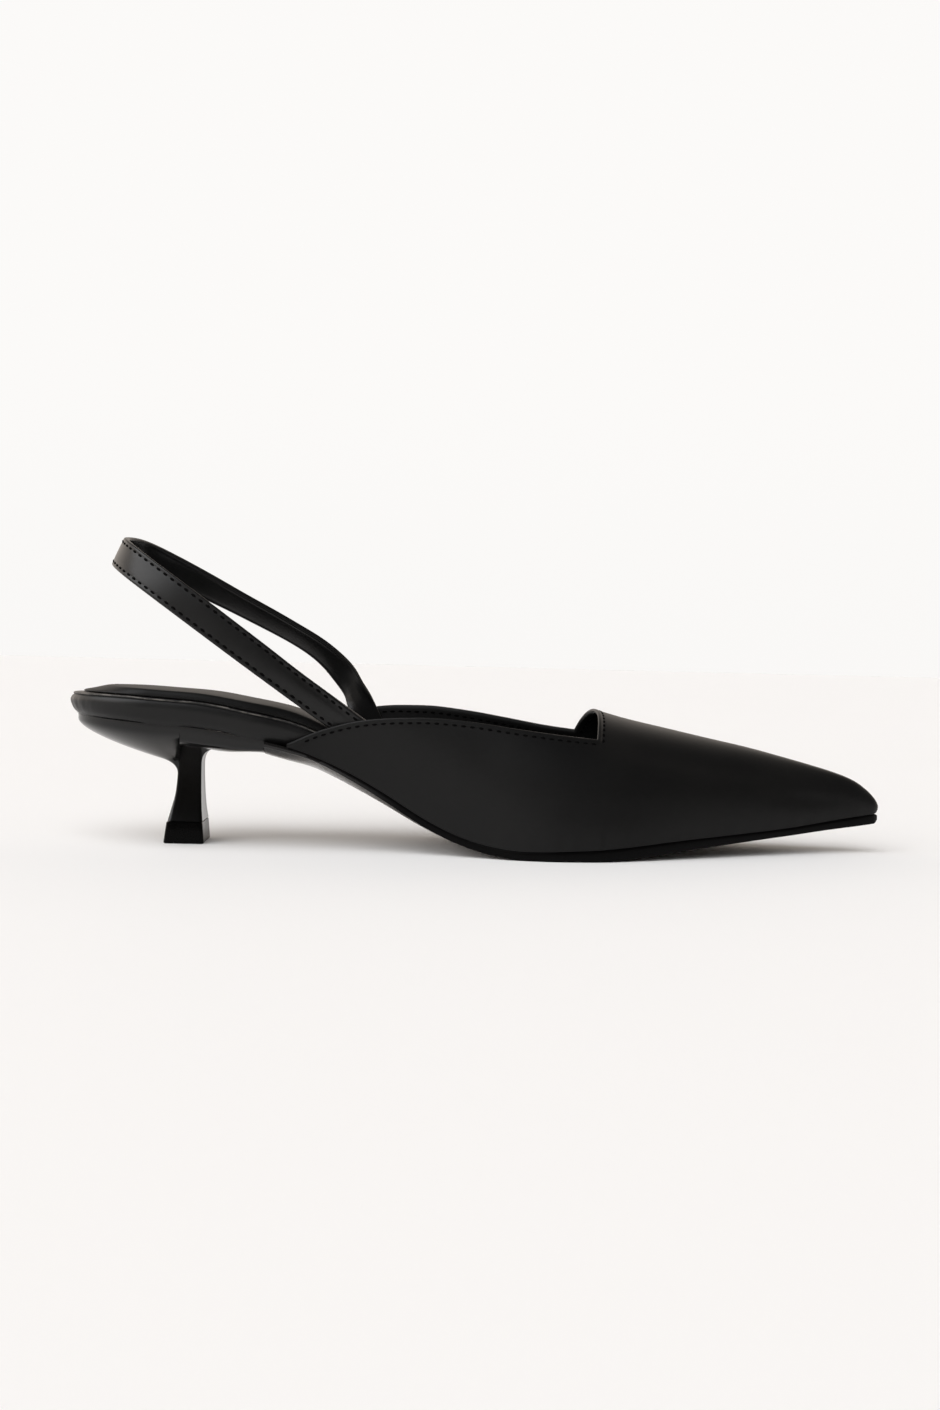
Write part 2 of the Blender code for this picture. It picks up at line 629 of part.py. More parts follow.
def main():
    for old in list(bpy.data.objects):
        bpy.data.objects.remove(old)
    shoe = bpy.data.collections.new("slingback_shoe")
    bpy.context.scene.collection.children.link(shoe)
    upper_leather = finish_material("matte upper leather", (0.014, 0.014, 0.014), 0.55)
    insole_leather = finish_material("smooth insole leather", (0.012, 0.012, 0.012), 0.35)
    sole_rubber = finish_material("sole rubber", (0.008, 0.008, 0.008), 0.3)
    heel_lacquer = finish_material("heel lacquer", (0.006, 0.006, 0.006), 0.12)
    tip_rubber = finish_material("tip rubber", (0.008, 0.008, 0.008), 0.4)
    make_upper(upper_leather, shoe)
    make_outsole(sole_rubber, shoe)
    make_insole(insole_leather, shoe)
    make_sock_pad(insole_leather, shoe)
    make_heel(heel_lacquer, shoe)
    make_top_lift(tip_rubber, shoe)
    make_sling_strap(upper_leather, shoe)


main()
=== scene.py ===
# %% [markdown]
# # A black slingback shoe
# The engineering model gives the shoe's seven solids in their true places. This lesson keeps those
# places and gives each solid its finished surface: leather, lining, thread, lacquer and rubber.
# Every length in the tables is in millimetres. A station is a distance forward from the heel's back.

# %% Load the frame
import math
from collections import namedtuple

import bmesh
import bpy
import numpy as np
from mathutils import Matrix, Vector


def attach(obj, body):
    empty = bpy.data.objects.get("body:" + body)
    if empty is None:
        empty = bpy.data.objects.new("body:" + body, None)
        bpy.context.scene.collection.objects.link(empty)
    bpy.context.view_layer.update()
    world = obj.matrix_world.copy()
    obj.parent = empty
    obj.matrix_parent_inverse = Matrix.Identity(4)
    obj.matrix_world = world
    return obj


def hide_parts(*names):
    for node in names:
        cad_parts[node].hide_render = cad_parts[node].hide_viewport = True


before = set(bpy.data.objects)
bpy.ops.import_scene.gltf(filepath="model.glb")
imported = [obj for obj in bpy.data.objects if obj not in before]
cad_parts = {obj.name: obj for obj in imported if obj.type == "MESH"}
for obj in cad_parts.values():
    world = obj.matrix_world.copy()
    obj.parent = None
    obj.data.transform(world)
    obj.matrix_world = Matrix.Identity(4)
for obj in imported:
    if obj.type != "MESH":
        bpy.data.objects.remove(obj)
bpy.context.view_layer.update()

MM = 0.001
print("frame nodes:", ", ".join(sorted(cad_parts)))

# %% [markdown]
# ## The last
# A shoe is drawn round a last, the wooden foot inside it. One table of sections says how wide and how
# high the last is at each station, and every piece is measured from it, so that the pieces always meet.

# %% The last's sections
HEEL_BACK, TOE_TIP = 1.2, 271.8
Section = namedtuple("Section", "station centre edge belly feather ridge")
LAST = [Section(*row) for row in (
    (0.0, 0.0, 25.0, 25.0, 41.9, 104.0),
    (30.0, 0.0, 25.5, 25.5, 39.4, 101.0),
    (45.0, 0.0, 25.4, 25.4, 38.3, 100.0),
    (60.0, -0.2, 24.7, 24.8, 35.7, 99.0),
    (74.0, -0.5, 24.0, 24.6, 32.9, 96.0),
    (86.0, -0.9, 23.4, 27.4, 28.6, 91.0),
    (96.0, -1.2, 23.4, 29.4, 23.8, 86.0),
    (106.0, -1.5, 24.2, 30.8, 18.2, 81.0),
    (116.0, -1.7, 26.0, 32.0, 12.1, 75.0),
    (126.0, -1.7, 28.6, 33.4, 7.3, 69.5),
    (136.0, -1.5, 31.8, 35.2, 4.2, 63.5),
    (148.0, -1.0, 35.8, 37.6, 2.8, 56.8),
    (160.0, -0.3, 38.0, 39.0, 3.2, 51.2),
    (171.0, 0.5, 37.8, 38.7, 3.7, 47.4),
    (184.0, 1.5, 34.6, 35.5, 4.7, 43.8),
    (198.0, 2.4, 29.6, 30.5, 6.0, 40.8),
    (212.0, 3.1, 23.8, 24.7, 7.0, 37.8),
    (226.0, 3.8, 18.0, 18.8, 8.0, 34.9),
    (240.0, 4.4, 12.2, 12.9, 9.2, 31.4),
    (252.0, 4.8, 7.6, 8.2, 10.8, 28.2),
    (260.0, 5.0, 5.0, 5.5, 11.9, 25.7),
    (266.0, 5.0, 3.2, 3.6, 12.6, 22.8),
    (269.5, 5.0, 1.9, 2.2, 13.0, 19.5),
    (271.0, 5.0, 1.1, 1.3, 13.2, 17.6),
    (TOE_TIP, 5.0, 0.0, 0.0, 13.3, 15.9),
)]
MIDDLE = (HEEL_BACK + TOE_TIP) / 2
SEAT_GAP = 0.3


def in_frame(station, across, height):
    """A place of the tables, in millimetres from the heel's back, as a point of the frame."""
    return Vector(((station - MIDDLE) * MM, across * MM, height * MM))


print("last:", len(LAST), "sections,", round(TOE_TIP - HEEL_BACK, 1), "mm long")

# %% [markdown]
# Between its rows a table has to give a smooth line. A cubic that never overshoots keeps the flat of the
# sole flat. Averaging it over a few millimetres then takes out the last kinks, which gloss would show.

# %% Smooth lines from tables
LINE_STEPS = 1201


def clamp(share):
    """A share, kept between 0 and 1."""
    return min(1.0, max(0.0, share))


def monotone(places, values, at):
    """A cubic through the values, flat between two equal ones."""
    spans = np.diff(places)
    slopes = np.diff(values) / spans
    product = slopes[:-1] * slopes[1:]
    total = np.where(product > 0.0, slopes[:-1] + slopes[1:], 1.0)
    inner = np.where(product > 0.0, 2.0 * product / total, 0.0)
    tangents = np.concatenate([slopes[:1], inner, slopes[-1:]])
    i = np.clip(np.searchsorted(places, at, side="right") - 1, 0, len(spans) - 1)
    t = (at - places[i]) / spans[i]
    start = (1 + 2 * t) * (1 - t) ** 2 * values[i] + t * (1 - t) ** 2 * spans[i] * tangents[i]
    return start + t * t * (3 - 2 * t) * values[i + 1] - t * t * (1 - t) * spans[i] * tangents[i + 1]


def smooth_line(places, values, reach):
    """A monotone cubic, averaged over the reach to either side but exact at its two ends."""
    places, values = np.array(places, float), np.array(values, float)
    at = np.linspace(places[0], places[-1], LINE_STEPS)
    rough = monotone(places, values, at)
    room = np.minimum(reach, np.minimum(at - at[0], at[-1] - at))
    weights = np.array([1, 2, 3, 4, 5, 4, 3, 2, 1])
    shifts, weights = np.linspace(-1, 1, len(weights)), weights / weights.sum()
    soft = sum(weight * np.interp(at + shift * room, at, rough) for shift, weight in zip(shifts, weights))
    return lambda place: float(np.interp(place, at, soft))


def column(table, name, along="station", reach=5.0):
    """One column of a table as a smooth line."""
    return smooth_line([getattr(row, along) for row in table], [getattr(row, name) for row in table], reach)


centre_at, edge_at, belly_at = (column(LAST, name) for name in ("centre", "edge", "belly"))
feather_at, ridge_at = column(LAST, "feather"), column(LAST, "ridge")
BALL = 160.0
print("half width at the ball:", round(edge_at(BALL), 2), "mm")

# %% [markdown]
# ## Helpers for shapes
# Nearly every piece of a shoe is a sheet that is bent, or a bar whose section changes. A grid from Blender
# has the right faces for both, so it is enough to move its points. A bar is a grid whose two long edges
# are welded and whose open ends are filled.

# %% Grids and bars
WELD = 0.00001


def shaped_grid(rows, columns, place):
    """A grid with each of its points moved to place(row, column)."""
    mesh = bmesh.new()
    bmesh.ops.create_grid(mesh, x_segments=columns - 1, y_segments=rows - 1, size=1.0)
    for vert in mesh.verts:
        index = round((vert.co.x + 1.0) / 2.0 * (columns - 1))
        row = round((vert.co.y + 1.0) / 2.0 * (rows - 1))
        vert.co = place(row, index)
    return mesh


def close_up(mesh):
    """Weld the seams, drop what folds to nothing, fill the open ends and turn the faces outwards."""
    bmesh.ops.remove_doubles(mesh, verts=mesh.verts, dist=WELD)
    bmesh.ops.dissolve_degenerate(mesh, edges=mesh.edges, dist=WELD)
    bmesh.ops.holes_fill(mesh, edges=[edge for edge in mesh.edges if edge.is_boundary], sides=0)
    bmesh.ops.recalc_face_normals(mesh, faces=mesh.faces)
    return mesh


def bar(rings):
    """A closed solid through rings of equally many points."""
    count = len(rings[0])
    return close_up(shaped_grid(len(rings), count + 1, lambda row, index: rings[row][index % count]))


def as_object(mesh, name, materials):
    """The mesh as an object of the scene."""
    data = bpy.data.meshes.new(name)
    mesh.to_mesh(data)
    mesh.free()
    for material in materials:
        data.materials.append(material)
    made = bpy.data.objects.new(name, data)
    bpy.context.scene.collection.objects.link(made)
    return made


def finish_piece(mesh, name, materials, node=None, sharp=50.0):
    """The mesh as a piece that rides on the shoe, standing for a node of the frame if one is named."""
    piece = as_object(mesh, name, materials)
    piece.data.shade_smooth()
    piece.data.set_sharp_from_angle(angle=math.radians(sharp))
    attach(piece, "root")
    if node:
        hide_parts(node)
    print(name, "has", sum(len(face.vertices) - 2 for face in piece.data.polygons), "triangles")
    return piece


print("points closer than", WELD / MM, "mm are welded")

# %% [markdown]
# ## Helpers for finishes
# A finish is a small network of nodes, and so is the light of the room. Wrapping a socket in a class lets
# sums and products be written as Python, and one method makes any other node, so each stays readable.

# %% Wires and finishes
class Wire:
    """One output of a node. Arithmetic on wires adds Math nodes to their network."""

    def __init__(self, network, socket):
        self.network, self.socket = network, socket

    def _join(self, operation, first, second):
        return self.network.node("ShaderNodeMath", {"operation": operation}, {0: first, 1: second})

    def __add__(self, other):
        return self._join("ADD", self, other)

    def __sub__(self, other):
        return self._join("SUBTRACT", self, other)

    def __rsub__(self, other):
        return self._join("SUBTRACT", other, self)

    def __mul__(self, other):
        return self._join("MULTIPLY", self, other)

    __radd__ = __add__
    __rmul__ = __mul__


class Network:
    """The nodes of a material or of the room, its owner."""

    def __init__(self, owner):
        owner.use_nodes = True
        self.tree = owner.node_tree

    def node(self, kind, settings, sockets, output=0):
        """Any node: its settings first, then the values or wires of its sockets."""
        made = self.tree.nodes.new(kind)
        for name, value in settings.items():
            setattr(made, name, value)
        for name, value in sockets.items():
            if isinstance(value, Wire):
                self.tree.links.new(value.socket, made.inputs[name])
            else:
                made.inputs[name].default_value = value
        return Wire(self, made.outputs[output])

    def steps(self, value, low, high, at_low=0.0, at_high=1.0):
        """A smooth ramp between two values of the input, from 0 to 1 unless its ends are given."""
        sockets = {"Value": value, "From Min": low, "From Max": high, "To Min": at_low, "To Max": at_high}
        return self.node("ShaderNodeMapRange", {"interpolation_type": "SMOOTHSTEP"}, sockets)

    def part(self, vector, axis):
        """One axis of a vector."""
        return self.node("ShaderNodeSeparateXYZ", {}, {"Vector": vector}, axis)


class Finish(Network):
    """A material with one Principled shader, whose even values are set on the shader's own sockets."""

    def __init__(self, name, **even):
        self.material = bpy.data.materials.new(name)
        super().__init__(self.material)
        self.shader = self.tree.nodes["Principled BSDF"]
        for socket, value in even.items():
            self.shader.inputs[socket.replace("_", " ")].default_value = value

    def place(self):
        """Where a point lies on its piece, in metres."""
        return self.node("ShaderNodeTexCoord", {}, {}, "Object")

    def stretched(self, scale):
        """The same place with each axis scaled, for marks that run along the shoe."""
        return self.node("ShaderNodeMapping", {}, {"Vector": self.place(), "Scale": scale})

    def noise(self, vector, scale, detail=3.0, roughness=0.55):
        """Cloudy variation from 0 to 1."""
        sockets = {"Vector": vector, "Scale": scale, "Detail": detail, "Roughness": roughness}
        return self.node("ShaderNodeTexNoise", {}, sockets, "Fac")

    def cells(self, vector, scale):
        """Distance from the middles of scattered cells: pebbles with creases between them."""
        sockets = {"Vector": vector, "Scale": scale}
        return self.node("ShaderNodeTexVoronoi", {"feature": "F1"}, sockets, "Distance")

    def colour(self, mask, dark, light):
        """A colour between two, led by a mask."""
        sockets = {"Factor": mask, 6: (*dark, 1.0), 7: (*light, 1.0)}
        return self.node("ShaderNodeMix", {"data_type": "RGBA"}, sockets, 2)

    def bump(self, height, strength, distance):
        """Small relief, with the height's full range worth the distance in metres."""
        sockets = {"Height": height, "Strength": strength, "Distance": distance}
        return self.node("ShaderNodeBump", {}, sockets)

    def feed(self, **wires):
        """Join wires to the shader."""
        for socket, wire in wires.items():
            self.tree.links.new(wire.socket, self.shader.inputs[socket.replace("_", " ")])
        return self.material


print("helpers ready")

# %% [markdown]
# ## Upper leather
# The upper is smooth black leather with a fine grain and a soft, almost matte sheen. Two sizes of grain
# and a slow mottling of gloss are enough: pebbles of half a millimetre, pores between them, and clouds a
# few centimetres wide where the finish was rubbed in by hand.

# %% Upper leather
def upper_leather():
    finish = Finish("upper leather", IOR=1.27)
    place = finish.place()
    clouds = finish.noise(place, 45.0)
    pebbles = finish.cells(place, 1700.0)
    pores = finish.noise(place, 3600.0, 2.0)
    tone = finish.colour(clouds, (0.0038, 0.0038, 0.0040), (0.0060, 0.0059, 0.0057))
    gloss = 0.40 + 0.10 * (clouds - 0.5) + 0.08 * (pores - 0.5)
    relief = finish.bump(pebbles * 0.7 + pores * 0.3, 0.22, 0.00008)
    return finish.feed(Base_Color=tone, Roughness=gloss, Normal=relief)


def lining_leather():
    finish = Finish("lining", IOR=1.30)
    fibres = finish.noise(finish.stretched((1.0, 1.0, 3.0)), 900.0, 4.0)
    tone = finish.colour(fibres, (0.0050, 0.0050, 0.0052), (0.0085, 0.0083, 0.0080))
    relief = finish.bump(fibres, 0.25, 0.0001)
    return finish.feed(Base_Color=tone, Roughness=0.52 + 0.12 * (fibres - 0.5), Normal=relief)


def strap_leather(name, index, low, high, rough):
    """The strap's leather is the same hide, ironed smoother; its inner face is a smooth backing."""
    finish = Finish(name, IOR=index)
    clouds = finish.noise(finish.place(), 90.0)
    pebbles = finish.cells(finish.place(), 1900.0)
    tone = finish.colour(clouds, (low, low, low * 1.02), (high, high * 0.99, high * 0.97))
    relief = finish.bump(pebbles, 0.15, 0.00007)
    return finish.feed(Base_Color=tone, Roughness=rough + 0.12 * (clouds - 0.5), Normal=relief)


UPPER, LINING = upper_leather(), lining_leather()
STRAP_FACE = strap_leather("strap leather", 1.36, 0.0036, 0.0058, 0.34)
STRAP_BACK = strap_leather("strap backing", 1.30, 0.0040, 0.0070, 0.30)
print("finishes:", ", ".join(material.name for material in (UPPER, LINING, STRAP_FACE, STRAP_BACK)))

# %% [markdown]
# ## The upper
# The vamp and the two quarters are one piece of leather pulled over the last, folded in at the top edge and
# stitched. The arch of the last is a superellipse that tucks in at the sole. The upper could be an open
# sheet with a Solidify modifier, but the pointed toe would then cut through itself, so its inner face is
# drawn too: one long grid runs over the outside, round the bottom edge and back along the inside.

# %% The shape of the last
ARCH_POWER = 2.3
TUCK_ANGLE = math.radians(40.0)
NOSE_START, NOSE_TUCK, NOSE_DEPTH, NOSE_SHARE = 258.0, 0.6, 5.0, 0.3
UPPER_WALL, WELT_GAP = 1.5, 0.06
EDGE_ROUND = UPPER_WALL / 2


def arch_point(station, angle, inset=0.0):
    """A point on the last: angle 0 is the outer sole line, pi the inner one, inset goes inwards."""
    low = min(angle, math.pi - angle)
    side = -1.0 if angle < math.pi / 2 else 1.0
    belly, edge = belly_at(station), edge_at(station)
    belly, edge = max(belly - inset, NOSE_SHARE * belly), max(edge - inset, NOSE_SHARE * edge)
    tuck = max(0.0, 1.0 - low / TUCK_ANGLE) ** 2
    reach = belly * math.cos(low) ** (2 / ARCH_POWER) - (belly - edge) * tuck
    foot = feather_at(station) + WELT_GAP
    height = foot + (ridge_at(station) - inset - foot) * math.sin(low) ** (2 / ARCH_POWER)
    nose = max(0.0, (station - NOSE_START) / (TOE_TIP - NOSE_START)) ** 2
    back = nose * (NOSE_TUCK * tuck + NOSE_DEPTH * max(inset, 0.0) / UPPER_WALL)
    return station - back, centre_at(station) + side * reach, height


def angle_at_height(station, height):
    """The angle of the arch at which its wall reaches a height."""
    foot = feather_at(station) + WELT_GAP
    share = (height - foot) / (ridge_at(station) - foot)
    return math.asin(clamp(share) ** (ARCH_POWER / 2))


print("arch at the ball:", [round(value, 1) for value in arch_point(BALL, math.pi / 2)])

# %% The top edge
TopEdge = namedtuple("TopEdge", "station lateral medial")
TOPLINE = [TopEdge(*row) for row in (
    (73.4, 34.2, 34.2),
    (76.0, 35.2, 35.5),
    (79.0, 36.8, 37.6),
    (82.0, 38.1, 39.4),
    (86.0, 39.5, 41.4),
    (90.0, 40.7, 43.0),
    (96.0, 42.2, 44.6),
    (108.0, 43.5, 46.0),
    (118.0, 43.8, 46.1),
    (130.0, 43.0, 45.0),
    (146.0, 40.9, 42.5),
    (160.0, 39.2, 40.1),
    (172.0, 38.0, 38.7),
)]
lateral_top_at, medial_top_at = (column(TOPLINE, side, reach=4.0) for side in ("lateral", "medial"))
UPPER_BACK = TOPLINE[0].station
THROAT_LATERAL, THROAT_CENTRE, THROAT_MEDIAL = 171.5, 173.4, 169.8
SHOULDER_ANGLE = math.radians(49.0)


def throat_at(share):
    """The station of the throat's edge, from the outer corner at 0 to the inner one at 1."""
    share = clamp(share)
    straight = THROAT_LATERAL + (THROAT_MEDIAL - THROAT_LATERAL) * share
    bow = THROAT_CENTRE - (THROAT_LATERAL + THROAT_MEDIAL) / 2
    return straight + bow * math.sin(math.pi * share)


def shoulder_angles(station, throat):
    """The angles at which the two top edges lie, carried on over the vamp as its shoulders."""
    cut = min(station, throat)
    toe_share = max(0.0, (station - throat) / (TOE_TIP - throat))
    pair = angle_at_height(cut, lateral_top_at(cut)), angle_at_height(cut, medial_top_at(cut))
    return [angle + (SHOULDER_ANGLE - angle) * toe_share for angle in pair]


print("throat corners at", throat_at(0.0), "and", throat_at(1.0), "mm")

# %% [markdown]
# Leather is never quite even. A soft trough starts under each throat corner and runs out towards the toe,
# where the square throat pulls on the vamp. The leather is gathered a little where it turns under the sole,
# and the stitching draws a shallow groove along the top edge, with the folded edge standing proud of it.

# %% Creases and folds
Trough = namedtuple("Trough", "first last angle_first angle_last width depth")
TROUGHS = [Trough(*row) for row in (
    (170.0, 252.0, 47.0, 38.0, 9.0, 0.55),
    (172.0, 236.0, 30.0, 24.0, 10.0, -0.28),
    (226.0, 268.0, 26.0, 18.0, 9.0, 0.40),
    (150.0, 205.0, 14.0, 12.0, 6.0, 0.30),
)]
TROUGH_LEAD, TROUGH_EASE = 0.7, 1.5
GROOVE_DISTANCE, GROOVE_DEPTH, GROOVE_WIDTH = 1.8, 0.13, 0.42
FOLD_WIDTH, FOLD_RISE, FOLD_STEP = 1.35, 0.16, 0.24
PUCKER_HEIGHT, PUCKER_DEPTH, PUCKER_START, PUCKER_GROW = 7.0, 0.14, 120.0, 40.0
PUCKER_WAVES = [(1.0, 0.83, 0.0), (0.7, 1.37, 1.0), (0.5, 2.2, 2.0)]


def trough_depth(trough, station, low):
    """How far one soft trough draws the leather in, or a ridge lets it out."""
    share = (station - trough.first) / (trough.last - trough.first)
    if not 0.0 < share < 1.0:
        return 0.0
    angle = trough.angle_first + (trough.angle_last - trough.angle_first) * share
    across = (math.degrees(low) - angle) / trough.width
    along = math.sin(math.pi * share ** TROUGH_LEAD) ** TROUGH_EASE
    return trough.depth * along * math.exp(-across * across)


def pucker_depth(station, height):
    """Small puckers where the leather turns under the sole, strongest round the ball and the toe."""
    low = max(0.0, 1.0 - height / PUCKER_HEIGHT) ** 2
    wave = sum(size * math.sin(station * rate + start) for size, rate, start in PUCKER_WAVES)
    return PUCKER_DEPTH * low * wave * clamp((station - PUCKER_START) / PUCKER_GROW)


def edge_relief(distance):
    """The folded edge and the groove of its stitching, by the distance from the edge."""
    fold = FOLD_RISE / 2 * (1.0 - math.tanh((distance - FOLD_WIDTH) / FOLD_STEP))
    groove = GROOVE_DEPTH * math.exp(-((distance - GROOVE_DISTANCE) / GROOVE_WIDTH) ** 2)
    return groove - fold


print("creases:", len(TROUGHS), "troughs and ridges on each side")

# %% The upper's face
QUARTER_COLUMNS, VAMP_COLUMNS, WALL_ROWS, VAMP_ROWS = 72, 48, 26, 48
THROAT_OFFSETS = (0.0, 0.2, 0.45, 0.75, 1.1, 1.45, 1.8, 2.15, 2.5, 3.0, 3.7, 4.8, 6.4)
FACE_ROWS = 2 * WALL_ROWS + VAMP_ROWS
GRID_ROWS = 2 * FACE_ROWS + 2
COLUMNS = QUARTER_COLUMNS + len(THROAT_OFFSETS) - 1 + VAMP_COLUMNS
CROWDING, RELIEF_ROOM = 1.6, 10.0


def leather_point(station, angle, distance, inner):
    """The leather's surface at a distance from its nearest top edge, which is rounded over."""
    low = min(angle, math.pi - angle)
    roll = EDGE_ROUND - math.sqrt(max(0.0, EDGE_ROUND ** 2 - max(0.0, EDGE_ROUND - distance) ** 2))
    if inner:
        return in_frame(*arch_point(station, angle, UPPER_WALL - roll))
    height = arch_point(station, angle)[2] - feather_at(station)
    draw = sum(trough_depth(trough, station, low) for trough in TROUGHS) + pucker_depth(station, height)
    room = min(1.0, belly_at(station) / RELIEF_ROOM)
    return in_frame(*arch_point(station, angle, roll + room * (draw + edge_relief(distance))))


def upper_station(index, throat):
    """Columns run evenly along the quarters, crowd at the throat's stitching and again at the toe."""
    if index <= QUARTER_COLUMNS:
        return UPPER_BACK + (throat - UPPER_BACK) * index / QUARTER_COLUMNS
    past = index - QUARTER_COLUMNS
    if past < len(THROAT_OFFSETS):
        return throat + THROAT_OFFSETS[past]
    share = (past - len(THROAT_OFFSETS) + 1) / VAMP_COLUMNS
    start = throat + THROAT_OFFSETS[-1]
    return TOE_TIP - (TOE_TIP - start) * (1.0 - share) ** CROWDING


def upper_angle(row, lateral, medial):
    """Rows crowd towards the top edge on the walls and are even over the vamp."""
    if row <= WALL_ROWS:
        return lateral * (1.0 - (1.0 - row / WALL_ROWS) ** CROWDING)
    if row >= WALL_ROWS + VAMP_ROWS:
        return math.pi - medial * (1.0 - (1.0 - (FACE_ROWS - row) / WALL_ROWS) ** CROWDING)
    return lateral + (math.pi - medial - lateral) * (row - WALL_ROWS) / VAMP_ROWS


def face_row(row):
    """The row of the outside on which, or under which, a row of the grid lies."""
    return min(row, GRID_ROWS - 1 - row)


def upper_place(row, index):
    """A point of the grid that covers the outside, and then, row by row backwards, the inside."""
    inner, row = row > FACE_ROWS, face_row(row)
    throat = throat_at((row - WALL_ROWS) / VAMP_ROWS)
    station = upper_station(index, throat)
    lateral, medial = shoulder_angles(station, throat)
    angle = upper_angle(row, lateral, medial)
    edge_angle = lateral if row <= WALL_ROWS + VAMP_ROWS / 2 else math.pi - medial
    below = arch_point(station, edge_angle)[2] - arch_point(station, angle)[2]
    on_wall = row <= WALL_ROWS or row >= WALL_ROWS + VAMP_ROWS
    ahead = max(0.0, station - throat)
    distance = math.hypot(max(0.0, below), ahead) if on_wall else ahead
    return leather_point(station, angle, distance, inner)


print("upper grid:", GRID_ROWS, "rows by", COLUMNS + 1, "columns")

# %% Make the upper
def make_upper():
    """The upper's grid, with the faces of the lining marked and the foot's opening cut out."""
    mesh = bmesh.new()
    bmesh.ops.create_grid(mesh, x_segments=COLUMNS, y_segments=GRID_ROWS, size=1.0)
    inside = mesh.verts.layers.int.new("inside")
    opening = []
    for vert in mesh.verts:
        index = round((vert.co.x + 1.0) / 2.0 * COLUMNS)
        row = round((vert.co.y + 1.0) / 2.0 * GRID_ROWS) % GRID_ROWS
        vert.co = upper_place(row, index)
        vert[inside] = int(row > FACE_ROWS)
        if index < QUARTER_COLUMNS and WALL_ROWS < face_row(row) < WALL_ROWS + VAMP_ROWS:
            opening.append(vert)
    for face in mesh.faces:
        face.material_index = int(all(vert[inside] for vert in face.verts))
    bmesh.ops.delete(mesh, geom=opening, context="VERTS")
    return close_up(mesh)


finish_piece(make_upper(), "upper_leather", [UPPER, LINING], "upper", 60.0)

# %% [markdown]
# ## Stitching
# Black thread holds the folded edge down, in short dashes that sink into the leather. Each dash is a small
# stretched ball, laid along its path and turned to the surface. A few dozen faces are enough for something
# a millimetre long.

# %% Thread
EDGE_PITCH, STRAP_PITCH = 2.80, 2.92
STITCH_LENGTH, STITCH_WIDTH, STITCH_HEIGHT = 0.62, 0.86, 0.50
WAY_STEP = 0.3


def thread_finish():
    finish = Finish("thread", IOR=1.08)
    twist = finish.noise(finish.place(), 4200.0, 2.0)
    tone = finish.colour(twist, (0.0012, 0.0012, 0.0013), (0.0030, 0.0029, 0.0028))
    relief = finish.bump(twist, 0.4, 0.00008)
    return finish.feed(Base_Color=tone, Roughness=0.8 + 0.2 * (twist - 0.5), Normal=relief)


def dash_shape(pitch):
    """One dash of thread, with its points as an array and its faces as rows of point numbers."""
    ball = bmesh.new()
    bmesh.ops.create_uvsphere(ball, u_segments=8, v_segments=6, radius=0.5)
    ball.verts.index_update()
    size = STITCH_LENGTH * pitch, STITCH_WIDTH, STITCH_HEIGHT
    points = np.array([vert.co for vert in ball.verts]) * size * MM
    faces = [[vert.index for vert in face.verts] for face in ball.faces]
    ball.free()
    return points, faces


def unit(vectors):
    """The vectors, each made 1 long."""
    return vectors / np.linalg.norm(vectors, axis=1, keepdims=True)


def stitch_row(dash, pitch, path, normals):
    """Copies of the dash at an even pitch along a path, each turned along it and to the surface."""
    path, normals = np.array(path), np.array(normals)
    lengths = np.concatenate([[0.0], np.cumsum(np.linalg.norm(np.diff(path, axis=0), axis=1))])
    middles = np.arange(pitch * MM / 2, lengths[-1], pitch * MM)

    def along(values, shift=0.0):
        at = middles + shift * MM
        return np.stack([np.interp(at, lengths, values[:, axis]) for axis in range(3)], axis=1)

    way = unit(along(path, WAY_STEP) - along(path, -WAY_STEP))
    side = unit(np.cross(along(normals), way))
    axes = np.stack([way, side, np.cross(way, side)], axis=1)
    return along(path)[:, None, :] + dash @ axes


def stitch_piece(name, rows, pitch):
    """All the dashes of several rows as one piece."""
    dash, faces = dash_shape(pitch)
    points = np.concatenate([stitch_row(dash, pitch, *row).reshape(-1, 3) for row in rows])
    copies = range(0, len(points), len(dash))
    data = bpy.data.meshes.new(name)
    data.from_pydata(points, [], [[first + index for index in face] for first in copies for face in faces])
    mesh = bmesh.new()
    mesh.from_mesh(data)
    bpy.data.meshes.remove(data)
    print(name, "has", len(copies), "stitches")
    finish_piece(mesh, name, [THREAD])


THREAD = thread_finish()
print("stitches are", EDGE_PITCH, "mm apart, and", STRAP_PITCH, "mm on the strap")

# %% Stitches along the top edge
STITCH_BACK, CORNER_OVERLAP, CORNER_DROP = 78.5, 1.2, math.radians(2.6)
WALL_STEPS, THROAT_STEPS = 160, 120
OPENING_HEIGHT = 26.0


def wall_stitch_point(station, medial, inner):
    """A point of the stitching below a top edge, found down the wall from that edge."""
    top = (medial_top_at if medial else lateral_top_at)(station)
    angle = angle_at_height(station, top - GROOVE_DISTANCE)
    return leather_point(station, math.pi - angle if medial else angle, GROOVE_DISTANCE, inner)


def throat_stitch_point(share, inner):
    """A point of the stitching in front of the throat, from the outer corner to the inner one."""
    station = throat_at(share) + GROOVE_DISTANCE
    lateral, medial = shoulder_angles(station, throat_at(share))
    angle = lateral - CORNER_DROP + (math.pi - medial - lateral + 2 * CORNER_DROP) * share
    return leather_point(station, angle, GROOVE_DISTANCE, inner)


def upper_outwards(point):
    """Out of the upper: away from a line along the middle of the foot's opening."""
    return Vector((0.0, point.y, max(0.0, point.z - OPENING_HEIGHT * MM))).normalized()


